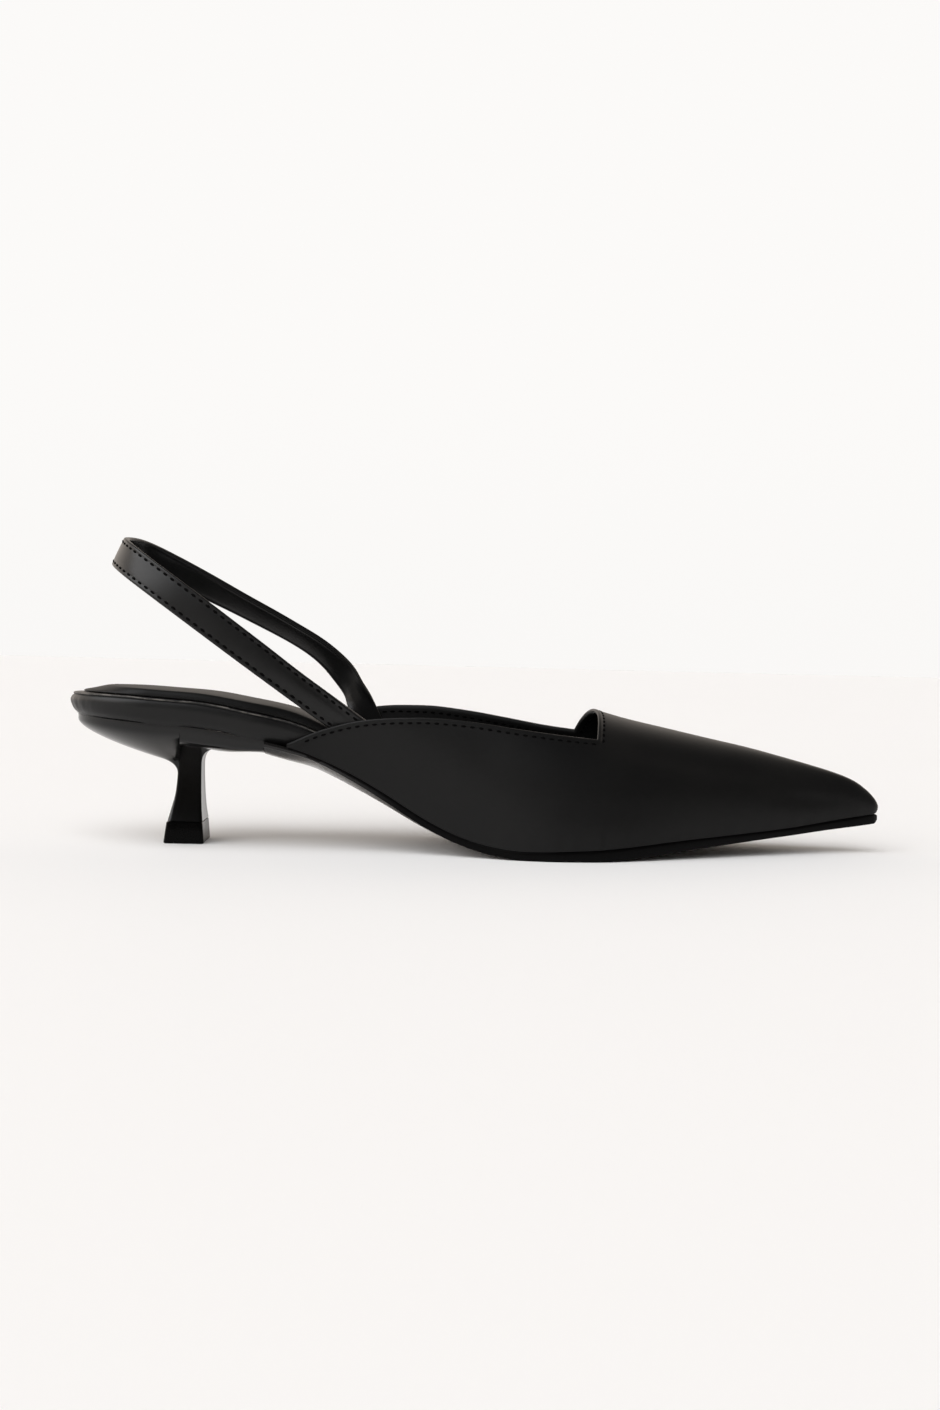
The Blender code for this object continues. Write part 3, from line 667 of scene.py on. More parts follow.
def top_edge_rows(inner):
    """The three rows of stitches, down both quarters and across the throat."""
    walls = []
    for medial, corner in ((False, THROAT_LATERAL), (True, THROAT_MEDIAL)):
        stations = np.linspace(STITCH_BACK, corner + CORNER_OVERLAP, WALL_STEPS)
        walls.append([wall_stitch_point(station, medial, inner) for station in stations])
    throat = [throat_stitch_point(share, inner) for share in np.linspace(0.0, 1.0, THROAT_STEPS)]
    return [(path, [upper_outwards(point) for point in path]) for path in walls + [throat]]


stitch_piece("top_edge_stitches", top_edge_rows(False) + top_edge_rows(True), EDGE_PITCH)

# %% [markdown]
# ## The sling strap
# The strap is two strips of leather, stitched along both edges, that run from inside one quarter round the
# heel to the other. It was left bowed by the foot: straight on the outer side, arched and turned on the
# inner one. A table gives its middle line, the lean of its top edge and its width.

# %% The strap's route
StrapPoint = namedtuple("StrapPoint", "station across height lean width")
STRAP = [StrapPoint(*row) for row in (
    (75.0, -24.9, 52.9, -1.0, 9.1),
    (64.0, -25.4, 60.9, 3.0, 9.5),
    (41.0, -22.6, 77.3, 12.0, 9.8),
    (29.1, -18.8, 85.6, 19.0, 9.8),
    (20.4, -11.6, 91.6, 20.0, 9.9),
    (16.0, 0.0, 94.8, 25.0, 9.9),
    (18.6, 9.6, 95.4, 30.0, 9.8),
    (25.0, 17.4, 92.9, 35.0, 10.3),
    (39.4, 22.6, 86.1, 42.0, 10.6),
    (55.4, 24.6, 78.1, 47.0, 10.0),
    (71.3, 25.6, 69.9, 47.0, 9.4),
    (80.9, 25.6, 64.1, 42.0, 9.3),
    (88.2, 25.2, 57.4, 27.0, 9.4),
    (91.7, 24.7, 52.8, 10.0, 9.3),
)]
StrapEnd = namedtuple("StrapEnd", "station height")
STRAP_LATERAL_ENDS = [StrapEnd(97.0, 37.6), StrapEnd(85.6, 45.4)]
STRAP_MEDIAL_ENDS = [StrapEnd(93.9, 48.6), StrapEnd(99.0, 38.2)]
STRAP_END_WIDTH, STRAP_THICKNESS, STRAP_WALL_GAP, STRAP_REACH = 9.1, 2.0, 0.5, 6.0


def strap_ends(ends, medial):
    """Strap points that lie against the inside of the upper, leaning with its wall."""
    side = 1.0 if medial else -1.0
    run = Vector((ends[1].station - ends[0].station, ends[1].height - ends[0].height)).normalized()
    upward = Vector((-run.y, run.x)) if run.x > 0.0 else Vector((run.y, -run.x))
    inward = UPPER_WALL + STRAP_WALL_GAP + STRAP_THICKNESS / 2
    points = []
    for end in ends:
        reach = []
        for edge in (-STRAP_END_WIDTH / 2, STRAP_END_WIDTH / 2):
            station, height = end.station + upward.x * edge, end.height + upward.y * edge
            angle = angle_at_height(station, height)
            reach.append(side * arch_point(station, math.pi - angle if medial else angle)[1])
        lean = -math.degrees(math.asin((reach[1] - reach[0]) / STRAP_END_WIDTH))
        across = side * (sum(reach) / 2 - inward)
        points.append(StrapPoint(end.station, across, end.height, lean, STRAP_END_WIDTH))
    return points


def strap_lines():
    """The strap's length, and each column of its table as a smooth line of the length along it."""
    points = strap_ends(STRAP_LATERAL_ENDS, False) + STRAP + strap_ends(STRAP_MEDIAL_ENDS, True)
    lengths = [0.0]
    for before, after in zip(points, points[1:]):
        lengths.append(lengths[-1] + math.dist(before[:3], after[:3]))
    return lengths[-1], [smooth_line(lengths, values, STRAP_REACH) for values in zip(*points)]


STRAP_LENGTH, STRAP_LINES = strap_lines()
print("strap length:", round(STRAP_LENGTH), "mm")

# %% [markdown]
# The strap's section is a flat band with round edges, a faint groove under each row of stitches and a fine
# seam along the edge, where its two layers meet.

# %% The strap
STRAP_COLUMNS, STRAP_STITCH_INSET = 170, 1.4
STRAP_CROWN, STRAP_INSIDE = (0.35, 1.05), in_frame(60.0, 0.0, 75.0)
EDGE_PROFILE = [(0.10, 0.0), (0.0, 0.14), (0.04, 0.55), (0.18, 0.82), (0.42, 0.97), (0.75, 1.0)]
EDGE_PROFILE += [(1.05, 0.96), (STRAP_STITCH_INSET, 0.90), (1.75, 0.96), (2.0, 1.0), (2.9, 1.03)]


def strap_axes(distance):
    """The strap's middle, its width direction and its outward direction at a length along it."""
    place, before, after = (
        Vector([line(distance + step) for line in STRAP_LINES[:3]]) for step in (0.0, -1.0, 1.0)
    )
    tangent = (after - before).normalized()
    inward = tangent.cross(Vector((0.0, 0.0, 1.0))).normalized()
    upward = inward.cross(tangent).normalized()
    lean = math.radians(STRAP_LINES[3](distance))
    width = upward * math.cos(lean) + inward * math.sin(lean)
    return place, width, upward * math.sin(lean) - inward * math.cos(lean)


def strap_ring(distance):
    """The strap's outline at a length along it, from a quarter of it and its mirror images."""
    place, width, outward = strap_axes(distance)
    half = STRAP_LINES[4](distance) / 2
    quarter = [(half - step, rise) for step, rise in EDGE_PROFILE]
    quarter.append((half * STRAP_CROWN[0], STRAP_CROWN[1]))
    top = quarter + [(-up, out) for up, out in reversed(quarter)]
    outline = top + [(up, -out) for up, out in reversed(top[1:-1])]
    return [in_frame(*(place + width * up + outward * out)) for up, out in outline]


mesh = bar([strap_ring(distance) for distance in np.linspace(0.0, STRAP_LENGTH, STRAP_COLUMNS)])
for face in mesh.faces:
    face.material_index = int(face.normal.dot(face.calc_center_median() - STRAP_INSIDE) < 0.0)
strap_sides = [STRAP_FACE, STRAP_BACK]
finish_piece(mesh, "sling_strap_leather", strap_sides, "sling_strap", 60.0)

# %% Stitches along the strap
STRAP_STITCH_END, STRAP_STITCH_RISE, STRAP_STITCH_STEPS = 3.0, 0.93, 260


def strap_stitch_row(edge):
    """The stitching along one edge of the outer face; edge 1 is the top one."""
    path, normals = [], []
    for distance in np.linspace(STRAP_STITCH_END, STRAP_LENGTH - STRAP_STITCH_END, STRAP_STITCH_STEPS):
        place, width, outward = strap_axes(distance)
        across = edge * (STRAP_LINES[4](distance) / 2 - STRAP_STITCH_INSET)
        path.append(in_frame(*(place + width * across + outward * STRAP_STITCH_RISE)))
        normals.append(outward)
    return path, normals


stitch_piece("strap_stitches", [strap_stitch_row(1.0), strap_stitch_row(-1.0)], STRAP_PITCH)

# %% [markdown]
# ## Insole and sock
# Round the heel the insole board is wrapped in thin, smooth leather, drawn tight over a round rim. On it
# lies a padded sock with a bevelled edge. Both follow one outline, drawn in step by step, and the rim's
# wrapping gets the shallow, lengthwise wrinkles of leather pulled round a curve. Along its upper lip a
# narrow band of faces has a paler, brownish finish of its own in patches: a painted highlight of the light
# the lip catches.

# %% Insole finishes
def wrap_leather():
    finish = Finish("insole wrap", IOR=1.32)
    wrinkles = finish.noise(finish.stretched((0.35, 0.35, 1.6)), 420.0, 3.0, 0.6)
    pores = finish.noise(finish.place(), 2600.0, 2.0)
    clouds = finish.noise(finish.place(), 60.0)
    tone = finish.colour(clouds, (0.0048, 0.0048, 0.0050), (0.0088, 0.0086, 0.0083))
    gloss = 0.38 + 0.14 * (wrinkles - 0.5) + 0.06 * (clouds - 0.5)
    relief = finish.bump(wrinkles * 0.8 + pores * 0.2, 0.3, 0.00022)
    return finish.feed(Base_Color=tone, Roughness=gloss, Normal=relief)


# Painted highlight: pale brownish patches along the rim's lip stand in for the light that the lip catches.
def painted_lip_highlight():
    finish = Finish("painted lip highlight", IOR=1.30)
    highlight_patches = finish.noise(finish.place(), 160.0, 4.0, 0.7)
    tone = finish.colour(finish.steps(highlight_patches, 0.40, 0.62), (0.012, 0.012, 0.012), (0.110, 0.101, 0.091))
    return finish.feed(Base_Color=tone, Roughness=0.45 + 0.2 * (highlight_patches - 0.5))


def sock_leather():
    finish = Finish("sock leather", IOR=1.26)
    grain = finish.cells(finish.place(), 1500.0)
    clouds = finish.noise(finish.place(), 70.0)
    tone = finish.colour(clouds, (0.0030, 0.0030, 0.0031), (0.0052, 0.0051, 0.0050))
    relief = finish.bump(grain, 0.2, 0.0001)
    return finish.feed(Base_Color=tone, Roughness=0.50 + 0.12 * (clouds - 0.5), Normal=relief)


WRAP, LIP, SOCK = wrap_leather(), painted_lip_highlight(), sock_leather()
print("finishes:", ", ".join(material.name for material in (WRAP, LIP, SOCK)))

# %% The insole's outline
InsoleSection = namedtuple("InsoleSection", "station margin thickness pad")
INSOLE = [InsoleSection(*row) for row in (
    (0.0, 0.0, 6.6, 2.3),
    (12.0, 0.0, 7.4, 2.4),
    (30.0, 0.0, 8.1, 2.35),
    (60.0, 0.0, 8.2, 2.7),
    (74.0, 2.0, 8.0, 3.0),
    (90.0, 2.1, 7.2, 3.0),
    (106.0, 2.1, 5.4, 2.6),
    (126.0, 2.1, 3.4, 2.2),
    (148.0, 2.1, 2.6, 2.0),
    (TOE_TIP, 2.1, 2.4, 2.0),
)]
margin_at, thickness_at, pad_at = (column(INSOLE, name) for name in ("margin", "thickness", "pad"))
INSOLE_FRONT, SOCK_FRONT = 258.0, 222.0
SEAT_ARC, LEAST_HALF = 30.0, 0.4
SEAT_ANGLES, SIDE_STATIONS = 60, 110
RimLevel = namedtuple("RimLevel", "share back side rise")


def plan_marks(front):
    """The half outline from heel to toe: angles round the seat, then stations."""
    marks = [("angle", angle) for angle in np.linspace(0.0, 90.0, SEAT_ANGLES)]
    return marks + [("station", station) for station in np.linspace(SEAT_ARC, front, SIDE_STATIONS)[1:]]


def plan_point(mark, hand, level):
    """A point of the outline, drawn in by a level's insets and then towards the middle line by its share."""
    kind, value = mark
    if kind == "angle":
        angle = math.radians(value)
        station = SEAT_ARC - (SEAT_ARC - HEEL_BACK - level.back) * math.cos(angle)
        half = (edge_at(SEAT_ARC) - level.side) * math.sin(angle)
    else:
        station = value
        half = max(LEAST_HALF, edge_at(station) - margin_at(station) - level.side)
    return station, centre_at(station) + hand * level.share * half


def smooth_rim(mark, hand, rise):
    """The pull of a rim without gathers."""
    return 0.0


def plate(front, levels, height, gather=smooth_rim):
    """A layer that follows the insole's outline, with a ring for each level of its rim."""
    marks = plan_marks(front)
    around = [(mark, -1.0) for mark in reversed(marks)] + [(mark, 1.0) for mark in marks[1:]]
    rings = []
    for level in levels:
        ring = []
        for mark, hand in around:
            pull = gather(mark, hand, level.rise)
            drawn_in = level._replace(back=level.back + pull, side=level.side + pull)
            station, across = plan_point(mark, hand, drawn_in)
            ring.append(in_frame(station, across, height(station, level.rise)))
        rings.append(ring)
    return bar(rings)


print("outline:", 2 * len(plan_marks(INSOLE_FRONT)) - 1, "points")

# %% Rims of the two layers
RIM = [RimLevel(1.0, *row) for row in (
    (2.6, 2.2, 0.0),
    (1.0, 0.8, 0.20),
    (0.2, 0.15, 0.46),
    (0.0, 0.0, 0.64),
    (0.45, 0.25, 0.80),
    (1.1, 0.66, 0.885),
    (0.85, 0.42, 0.91),
    (0.85, 0.40, 0.95),
    (1.4, 0.75, 0.992),
    (2.2, 1.4, 1.0),
)]
SOCK_RIM = [RimLevel(1.0, *row) for row in (
    (4.4, 1.7, 0.0),
    (4.3, 1.62, 0.1),
    (4.7, 1.66, 0.22),
    (8.0, 1.9, 0.52),
    (10.6, 2.4, 0.80),
    (12.2, 3.2, 0.95),
    (14.0, 5.0, 1.0),
)]


def rounded_rim(corners, crown, steps=3):
    """Levels of a closed layer: out along its bottom, up a smooth rim and in along its top."""
    places = np.arange(len(corners), dtype=float)
    at = np.linspace(0.0, places[-1], (len(corners) - 1) * steps + 1)
    lines = [monotone(places, np.array([corner[i] for corner in corners]), at) for i in range(1, 4)]
    rim = [RimLevel(1.0, *level) for level in zip(*lines)]
    inwards = [(share, crown * (1.0 - share * share)) for share in (0.7, 0.35, 0.0)]
    bottom = [rim[0]._replace(share=share) for share, rise in reversed(inwards)]
    return bottom + rim + [rim[-1]._replace(share=share, rise=1.0 + rise) for share, rise in inwards]


insole_levels, sock_levels = rounded_rim(RIM, 0.0), rounded_rim(SOCK_RIM, 0.05)
print("rims:", len(insole_levels), "and", len(sock_levels), "levels")

# %% The insole and the sock
LIP_BAND = (0.955, 0.997)
SEAM_SINK, SEAM_FADE = 0.26, 8
GATHER_PULL, GATHER_TOP, GATHER_END = 0.09, 0.88, 75.0


def insole_height(station, rise):
    """The rim's foot sinks to the heel below in places, so that the seam between them comes and goes."""
    closed = clamp(0.55 + 0.9 * math.sin(station * 0.21 + 0.6))
    sink = SEAM_SINK * closed * max(0.0, 1.0 - rise) ** SEAM_FADE
    return feather_at(station) + SEAT_GAP + thickness_at(station) * rise - sink


def sock_height(station, rise):
    """The sock lies on the insole with the same small gap as between the other layers."""
    return insole_height(station, 1.0) + SEAT_GAP + pad_at(station) * rise


def rim_gather(mark, hand, rise):
    """How far gathers draw the wrapping in round the back of the heel, fading to the sides and the lip."""
    kind, angle = mark
    if kind == "station" or angle > GATHER_END or not 0.0 < rise < GATHER_TOP:
        return 0.0
    fade = math.cos(math.pi / 2 * angle / GATHER_END) * math.sin(math.pi * rise / GATHER_TOP)
    turn = hand * angle
    broad = math.sin(0.53 * turn - 2.0 * rise + 1.0)
    fine = math.sin(0.9 * turn + 2.5 * rise) * math.sin(0.31 * turn + 4.0 * rise)
    return GATHER_PULL * fade * (0.8 * broad + fine)


def on_lip(point):
    """Whether a point of the insole lies on the narrow band of painted highlight at the top of its rim."""
    station = point.x / MM + MIDDLE
    rise = (point.z / MM - insole_height(station, 0.0)) / thickness_at(station)
    return LIP_BAND[0] < rise < LIP_BAND[1]


mesh = plate(INSOLE_FRONT, insole_levels, insole_height, rim_gather)
# The faces of the lip band get the painted highlight finish.
for face in mesh.faces:
    face.material_index = int(on_lip(face.calc_center_median()))
finish_piece(mesh, "insole_wrap", [WRAP, LIP], "insole")
mesh = plate(SOCK_FRONT, sock_levels, sock_height)
sock_pad = finish_piece(mesh, "sock_padding", [SOCK], "sock_pad")

# %% [markdown]
# ## Outsole
# The sole is a thin black sheet with a crisp side. It lies flat under the ball of the foot, springs up
# towards the toe and is rounded and polished under the arch. It is a bar whose section changes from one
# station to the next.

# %% Sole finish
WAIST = [in_frame(station, 0.0, 0.0).x for station in (84.0, 112.0)]


def sole_finish():
    """Black all over, with a polished coat behind the waist that ends under the arch."""
    finish = Finish("polished sole", IOR=1.16, Coat_IOR=1.42, Coat_Roughness=0.22)
    scuffs = finish.noise(finish.stretched((0.3, 1.0, 1.0)), 520.0, 4.0, 0.6)
    clouds = finish.noise(finish.place(), 38.0)
    tone = finish.colour(scuffs, (0.0007, 0.0007, 0.0008), (0.0016, 0.0015, 0.0015))
    gloss = 0.32 + 0.16 * (scuffs - 0.5) + 0.10 * (clouds - 0.5)
    polish = 1.0 - finish.steps(finish.part(finish.place(), "X"), *WAIST)
    relief = finish.bump(scuffs, 0.15, 0.0001)
    return finish.feed(Base_Color=tone, Roughness=gloss, Coat_Weight=polish, Normal=relief)


SOLE = sole_finish()
print("finish:", SOLE.name)

# %% The sole's sections
SoleSection = namedtuple("SoleSection", "station inset foot crown")
OUTSOLE = [SoleSection(*row) for row in (
    (66.06, 1.8, 32.9, 2.8),
    (80.0, 0.2, 29.6, 3.6),
    (88.0, 0.0, 26.0, 3.5),
    (96.0, 0.0, 21.7, 3.2),
    (106.0, 0.0, 15.8, 2.6),
    (116.0, 0.0, 9.6, 1.8),
    (126.0, 0.0, 4.8, 1.2),
    (136.0, 0.0, 1.7, 0.6),
    (148.0, 0.0, 0.0, 0.0),
    (171.0, 0.0, 0.0, 0.0),
    (184.0, 0.0, 0.9, 0.0),
    (198.0, 0.0, 2.5, 0.0),
    (212.0, 0.0, 3.9, 0.0),
    (226.0, 0.0, 5.3, 0.0),
    (240.0, 0.0, 6.6, 0.0),
    (252.0, 0.0, 7.9, 0.0),
    (262.0, 0.0, 8.9, 0.0),
    (271.0, 0.3, 9.9, 0.0),
)]
sole_inset_at, sole_foot_at, crown_at = (column(OUTSOLE, name) for name in ("inset", "foot", "crown"))
SOLE_BACK = OUTSOLE[0].station
CROWN_POWER, SEAT_CROWN_POWER, SEAT_CROWN_END = 2.4, 7.0, 82.0


def crown_power(station):
    """The bottom is flat with steep sides under the heel seat and an even curve under the arch."""
    share = clamp((SEAT_CROWN_END - station) / (SEAT_CROWN_END - SOLE_BACK))
    return CROWN_POWER + (SEAT_CROWN_POWER - CROWN_POWER) * share * share * (3.0 - 2.0 * share)


print("sole edge:", round(feather_at(BALL) - sole_foot_at(BALL), 2), "mm")

# %% The outsole
SIDE_PROFILE = [(-0.7, 0.0), (-0.35, 0.0), (-0.1, 0.1), (0.0, 0.38), (0.08, 1.0)]
SOLE_TOP_SHARES = (0.0, 0.3, 0.6, 0.85)
SOLE_BOTTOM_SHARES = (0.985, 0.96, 0.92, 0.86, 0.78, 0.67, 0.54, 0.36, 0.18, 0.0)
SIDE_ROOM_EDGE, SIDE_ROOM_DEPTH = 4.0, 2.0
SOLE_TIP, TIP_ROUND, TIP_WIDTH = 271.5, 1.5, 0.3
TIP_DROP, TIP_THIN, TIP_NARROW = 0.3, 0.8, 0.9
SOLE_COLUMNS, TIP_COLUMNS = 190, 9


def sole_ring(station):
    """One section: over the flat top to the side, down it and under the crowned bottom, on both halves."""
    top, edge = feather_at(station), edge_at(station) - sole_inset_at(station)
    depth, crown = top - sole_foot_at(station), crown_at(station)
    nearness = max(0.0, 1.0 - (SOLE_TIP - station) / TIP_ROUND)
    tip = 1.0 - math.sqrt(max(0.0, 1.0 - nearness ** 2))
    top -= TIP_DROP * depth * tip
    depth *= 1.0 - TIP_THIN * tip
    edge = max(TIP_WIDTH, edge * (1.0 - TIP_NARROW * tip))
    room = min(1.0, edge / SIDE_ROOM_EDGE, depth / SIDE_ROOM_DEPTH)
    inner = edge + SIDE_PROFILE[0][0] * room
    half = [(share * inner, top) for share in SOLE_TOP_SHARES]
    half += [(edge + out * room, top - down) for out, down in SIDE_PROFILE]
    half += [(edge + out * room, top - depth + down) for out, down in reversed(SIDE_PROFILE[:4])]
    for share in SOLE_BOTTOM_SHARES:
        half.append((share * inner, top - depth - crown * (1.0 - share ** crown_power(station))))
    ring = half + [(-across, height) for across, height in reversed(half[1:-1])]
    return [in_frame(station, centre_at(station) + across, height) for across, height in ring]


sole_share = np.linspace(0.0, 1.0, SOLE_COLUMNS)
sole_stations = SOLE_BACK + (SOLE_TIP - TIP_ROUND - SOLE_BACK) * sole_share
tip_stations = SOLE_TIP - TIP_ROUND + TIP_ROUND * np.sin(np.linspace(0.0, math.pi / 2, TIP_COLUMNS)[1:])
mesh = bar([sole_ring(station) for station in (*sole_stations, *tip_stations)])
finish_piece(mesh, "outsole_sheet", [SOLE], "outsole", 35.0)

# %% [markdown]
# ## Heel
# The kitten heel is moulded and lacquered: a shallow cup under the seat that is drawn into a slim stem, and
# the stem flares again to its tip. Each line down the heel runs from the seat's edge across the cup, through
# a fillet at the neck and down the stem, so the heel is a bar through the rings those lines make.

# %% Heel finishes
def heel_lacquer():
    finish = Finish("heel lacquer", IOR=1.43)
    waves = finish.noise(finish.place(), 130.0, 2.0)
    dust = finish.noise(finish.place(), 1900.0, 2.0)
    tone = finish.colour(waves, (0.0006, 0.0006, 0.0007), (0.0014, 0.0014, 0.0013))
    gloss = 0.19 + 0.05 * (waves - 0.5) + 0.05 * (dust - 0.5)
    return finish.feed(Base_Color=tone, Roughness=gloss, Normal=finish.bump(waves, 0.12, 0.0003))


def tip_rubber():
    finish = Finish("tip rubber", IOR=1.14)
    grain = finish.noise(finish.stretched((1.0, 1.0, 2.5)), 1100.0, 4.0, 0.65)
    tone = finish.colour(grain, (0.0008, 0.0008, 0.0009), (0.0022, 0.0021, 0.0020))
    relief = finish.bump(grain, 0.1, 0.00008)
    return finish.feed(Base_Color=tone, Roughness=0.20 + 0.2 * (grain - 0.5), Normal=relief)


LACQUER, TIP = heel_lacquer(), tip_rubber()
print("finishes:", LACQUER.name, "and", TIP.name)

# %% The heel's sizes
TOP_LIFT_HEIGHT = 7.0
HEEL_INSET, HEEL_FRONT, HEEL_MIDDLE = 2.4, 66.0, 0.4
HEEL_FRONT_CROWN, HEEL_RIM_HEIGHT, RIM_RING_SHARE = 3.0, 1.4, 0.3
BACK_BOWL, BACK_POWER, SIDE_POWER = 0.38, 2.2, 4.0
BREAST, BREAST_GAP, BREAST_ANGLES, CORNER_ANGLE = 39.7, 0.2, (104.0, 112.0), 45.0
NECK_SHELF, SHELF_END, SHELF_FADE, BOWL_FADE = 4.6, 60.0, 15.0, 30.0
StemSection = namedtuple("StemSection", "height back front half_width")
STEM = [StemSection(*row) for row in (
    (TOP_LIFT_HEIGHT + SEAT_GAP, 34.0, 45.6, 8.6),
    (11.0, 34.9, 45.1, 7.2),
    (17.0, 36.2, 44.7, 5.7),
    (24.0, 36.6, 44.5, 4.9),
    (34.0, 36.6, 44.5, 4.2),
)]
NeckMark = namedtuple("NeckMark", "angle corner dip fall start")
NECK = [NeckMark(*row) for row in (
    (0.0, 30.8, 0.0, 5.0, 1.0),
    (45.0, 30.7, 0.0, 4.8, 1.0),
    (60.0, 31.9, 1.4, 0.9, 0.96),
    (75.0, 32.1, 1.1, 0.9, 0.97),
    (90.0, 32.3, 0.7, 0.9, 0.97),
    (104.0, 32.7, 0.2, 0.9, 0.97),
    (112.0, 27.8, 0.0, 2.6, 0.87),
    (135.0, 26.8, 0.0, 3.2, 0.84),
    (160.0, 26.1, 0.0, 3.6, 0.82),
    (180.0, 25.8, 0.0, 3.6, 0.82),
)]
STEM_POWER, STEM_HOLLOW, HEEL_REACH = 16.0, 0.30, 1.5
stem_lines = [column(STEM, name, "height", HEEL_REACH) for name in StemSection._fields[1:]]
corner_at, dip_at, fall_at, start_at = (
    column(NECK, name, "angle", HEEL_REACH) for name in NeckMark._fields[1:]
)
print("stem at the neck:", [round(line(24.0), 2) for line in stem_lines])

# %% Lines down the heel
SEAT_POINTS, STRAIGHT_SHARE = (15, 18, 44), 0.2
CUP_POINTS, FILLET_POINTS, STEM_POINTS = 18, 12, 18


def stem_point(angle, height, size):
    """A point of the stem's section, a rectangle with small round corners: angle 0 is its front."""
    back, front, half_width = size
    turn = math.radians(angle)
    forward = math.copysign(abs(math.cos(turn)) ** (2 / STEM_POWER), math.cos(turn))
    sideways = abs(math.sin(turn)) ** (2 / STEM_POWER)
    hollow = STEM_HOLLOW * max(0.0, forward) * (1.0 - sideways ** 4)
    along = (front + back) / 2 + (front - back) / 2 * forward - hollow
    return Vector((along, half_width * sideways, height))


def stem_size(height):
    """The stem's back, front and half width at a height."""
    return [line(height) for line in stem_lines]


def seat_marks():
    """The seat's half outline from the front round to the back, each point with its angle on the stem."""
    marks = []
    front, side, back = (np.linspace(0.0, 1.0, count) for count in SEAT_POINTS)
    for share in front:
        spread = 1.0 - (1.0 - share) ** 2
        marks.append(((HEEL_FRONT, spread * (edge_at(HEEL_FRONT) - HEEL_INSET)), CORNER_ANGLE * share))
    for share in side[1:]:
        station = HEEL_FRONT + (BREAST - HEEL_FRONT) * share
        angle = CORNER_ANGLE + (BREAST_ANGLES[0] - CORNER_ANGLE) * share
        marks.append(((station, edge_at(station) - HEEL_INSET), angle))
    rim = RimLevel(1.0, HEEL_INSET, HEEL_INSET, 0.0)
    for share in back:
        along, angle = share ** 1.5, BREAST_ANGLES[1] + (180.0 - BREAST_ANGLES[1]) * share
        station = BREAST - BREAST_GAP + (SEAT_ARC - BREAST) * along / STRAIGHT_SHARE
        seat = station, edge_at(station) - HEEL_INSET
        if along > STRAIGHT_SHARE:
            seat = plan_point(("angle", 90.0 * (1.0 - along) / (1.0 - STRAIGHT_SHARE)), 1.0, rim)
        marks.append((seat, angle))
    return marks


def heel_path(seat, angle):
    """One line down the heel: seat edge, cup, fillet at the neck, then the flaring stem to the tip."""
    station, across = seat
    top = feather_at(station)
    front_share = max(0.0, (station - BREAST) / (HEEL_FRONT - BREAST))
    across_share = min(1.0, across / (edge_at(station) - HEEL_INSET))
    rim = HEEL_RIM_HEIGHT + HEEL_FRONT_CROWN * front_share ** 2 * (1.0 - across_share ** SEAT_CROWN_POWER)
    edge = Vector((station, across, top - rim))
    corner = stem_point(angle, corner_at(angle), stem_size(corner_at(angle)))
    fall = corner.z - fall_at(angle)
    below = stem_point(angle, fall, stem_size(fall))
    bowl, power = clamp(angle / BOWL_FADE), SIDE_POWER
    if angle > BREAST_ANGLES[0]:
        bowl, power = BACK_BOWL, BACK_POWER
    shelf = corner + Vector((NECK_SHELF * clamp((SHELF_END - angle) / SHELF_FADE), 0.0, 0.0))
    path = [Vector((station, across, top)), Vector((station, across, top - RIM_RING_SHARE * rim))]
    for share in start_at(angle) * np.linspace(0.0, 1.0, CUP_POINTS) ** 2:
        round_share = (1.0 - (1.0 - share) ** power) ** (1.0 / power)
        sag = (edge.z - corner.z) * (round_share - share) * bowl
        sag += dip_at(angle) * (round_share - share ** 4)
        path.append(edge.lerp(shelf, share) - Vector((0.0, 0.0, sag)))
    start = path[-1]
    for t in np.linspace(0.0, 1.0, FILLET_POINTS)[1:]:
        path.append(start.lerp(corner, t).lerp(corner.lerp(below, t), t))
    for height in np.linspace(fall, STEM[0].height, STEM_POINTS)[1:]:
        path.append(stem_point(angle, height, stem_size(height)))
    return path


def whole_ring(half):
    """A ring from half of it, which runs from the front middle to the back middle."""
    medial = [in_frame(point.x, HEEL_MIDDLE + point.y, point.z) for point in half]
    lateral = [in_frame(point.x, HEEL_MIDDLE - point.y, point.z) for point in half[1:-1]]
    return medial + lateral[::-1]


paths = [heel_path(seat, angle) for seat, angle in seat_marks()]
print("heel:", len(paths), "lines down each half, of", len(paths[0]), "points")

# %% The heel and its tip
mesh = bar([whole_ring(half) for half in zip(*paths)])
finish_piece(mesh, "heel_block", [LACQUER], "heel", 40.0)

LIFT_LEVELS = [(7.0, 0.25), (6.85, 0.05), (6.6, 0.0), (4.0, 0.0), (1.0, 0.0), (0.25, 0.05), (0.0, 0.3)]
LIFT_TOP, LIFT_FOOT, LIFT_POINTS = (33.7, 45.6, 9.0), (32.8, 46.2, 9.25), 61


def lift_ring(height, inset):
    """One section of the tip, between its top and its foot."""
    share = height / TOP_LIFT_HEIGHT
    back, front, half = (foot + (top - foot) * share for top, foot in zip(LIFT_TOP, LIFT_FOOT))
    size = (back + inset, front - inset, half - inset)
    return whole_ring([stem_point(angle, height, size) for angle in np.linspace(0.0, 180.0, LIFT_POINTS)])


mesh = bar([lift_ring(height, inset) for height, inset in LIFT_LEVELS])
finish_piece(mesh, "top_lift_rubber", [TIP], "top_lift", 35.0)

# %% [markdown]
# ## Floor, light and camera
# The shoe stands on a plain white floor in soft studio light: a wide soft box from above, a weak fill from
# the camera's side and a pale room that is brightest behind the shoe. The soft box is two lamps, one for
# its highlights and one for its soft shadows, so that each can be set by itself. The camera stands low, a
# little above the floor, and looks at the outer side.

# %% Floor
def floor_finish():
    finish = Finish("pale floor", IOR=1.3)
    clouds = finish.noise(finish.place(), 3.0)
    tone = finish.colour(clouds, (0.885, 0.880, 0.872), (0.895, 0.890, 0.883))
    return finish.feed(Base_Color=tone, Roughness=0.75 + 0.05 * (clouds - 0.5))


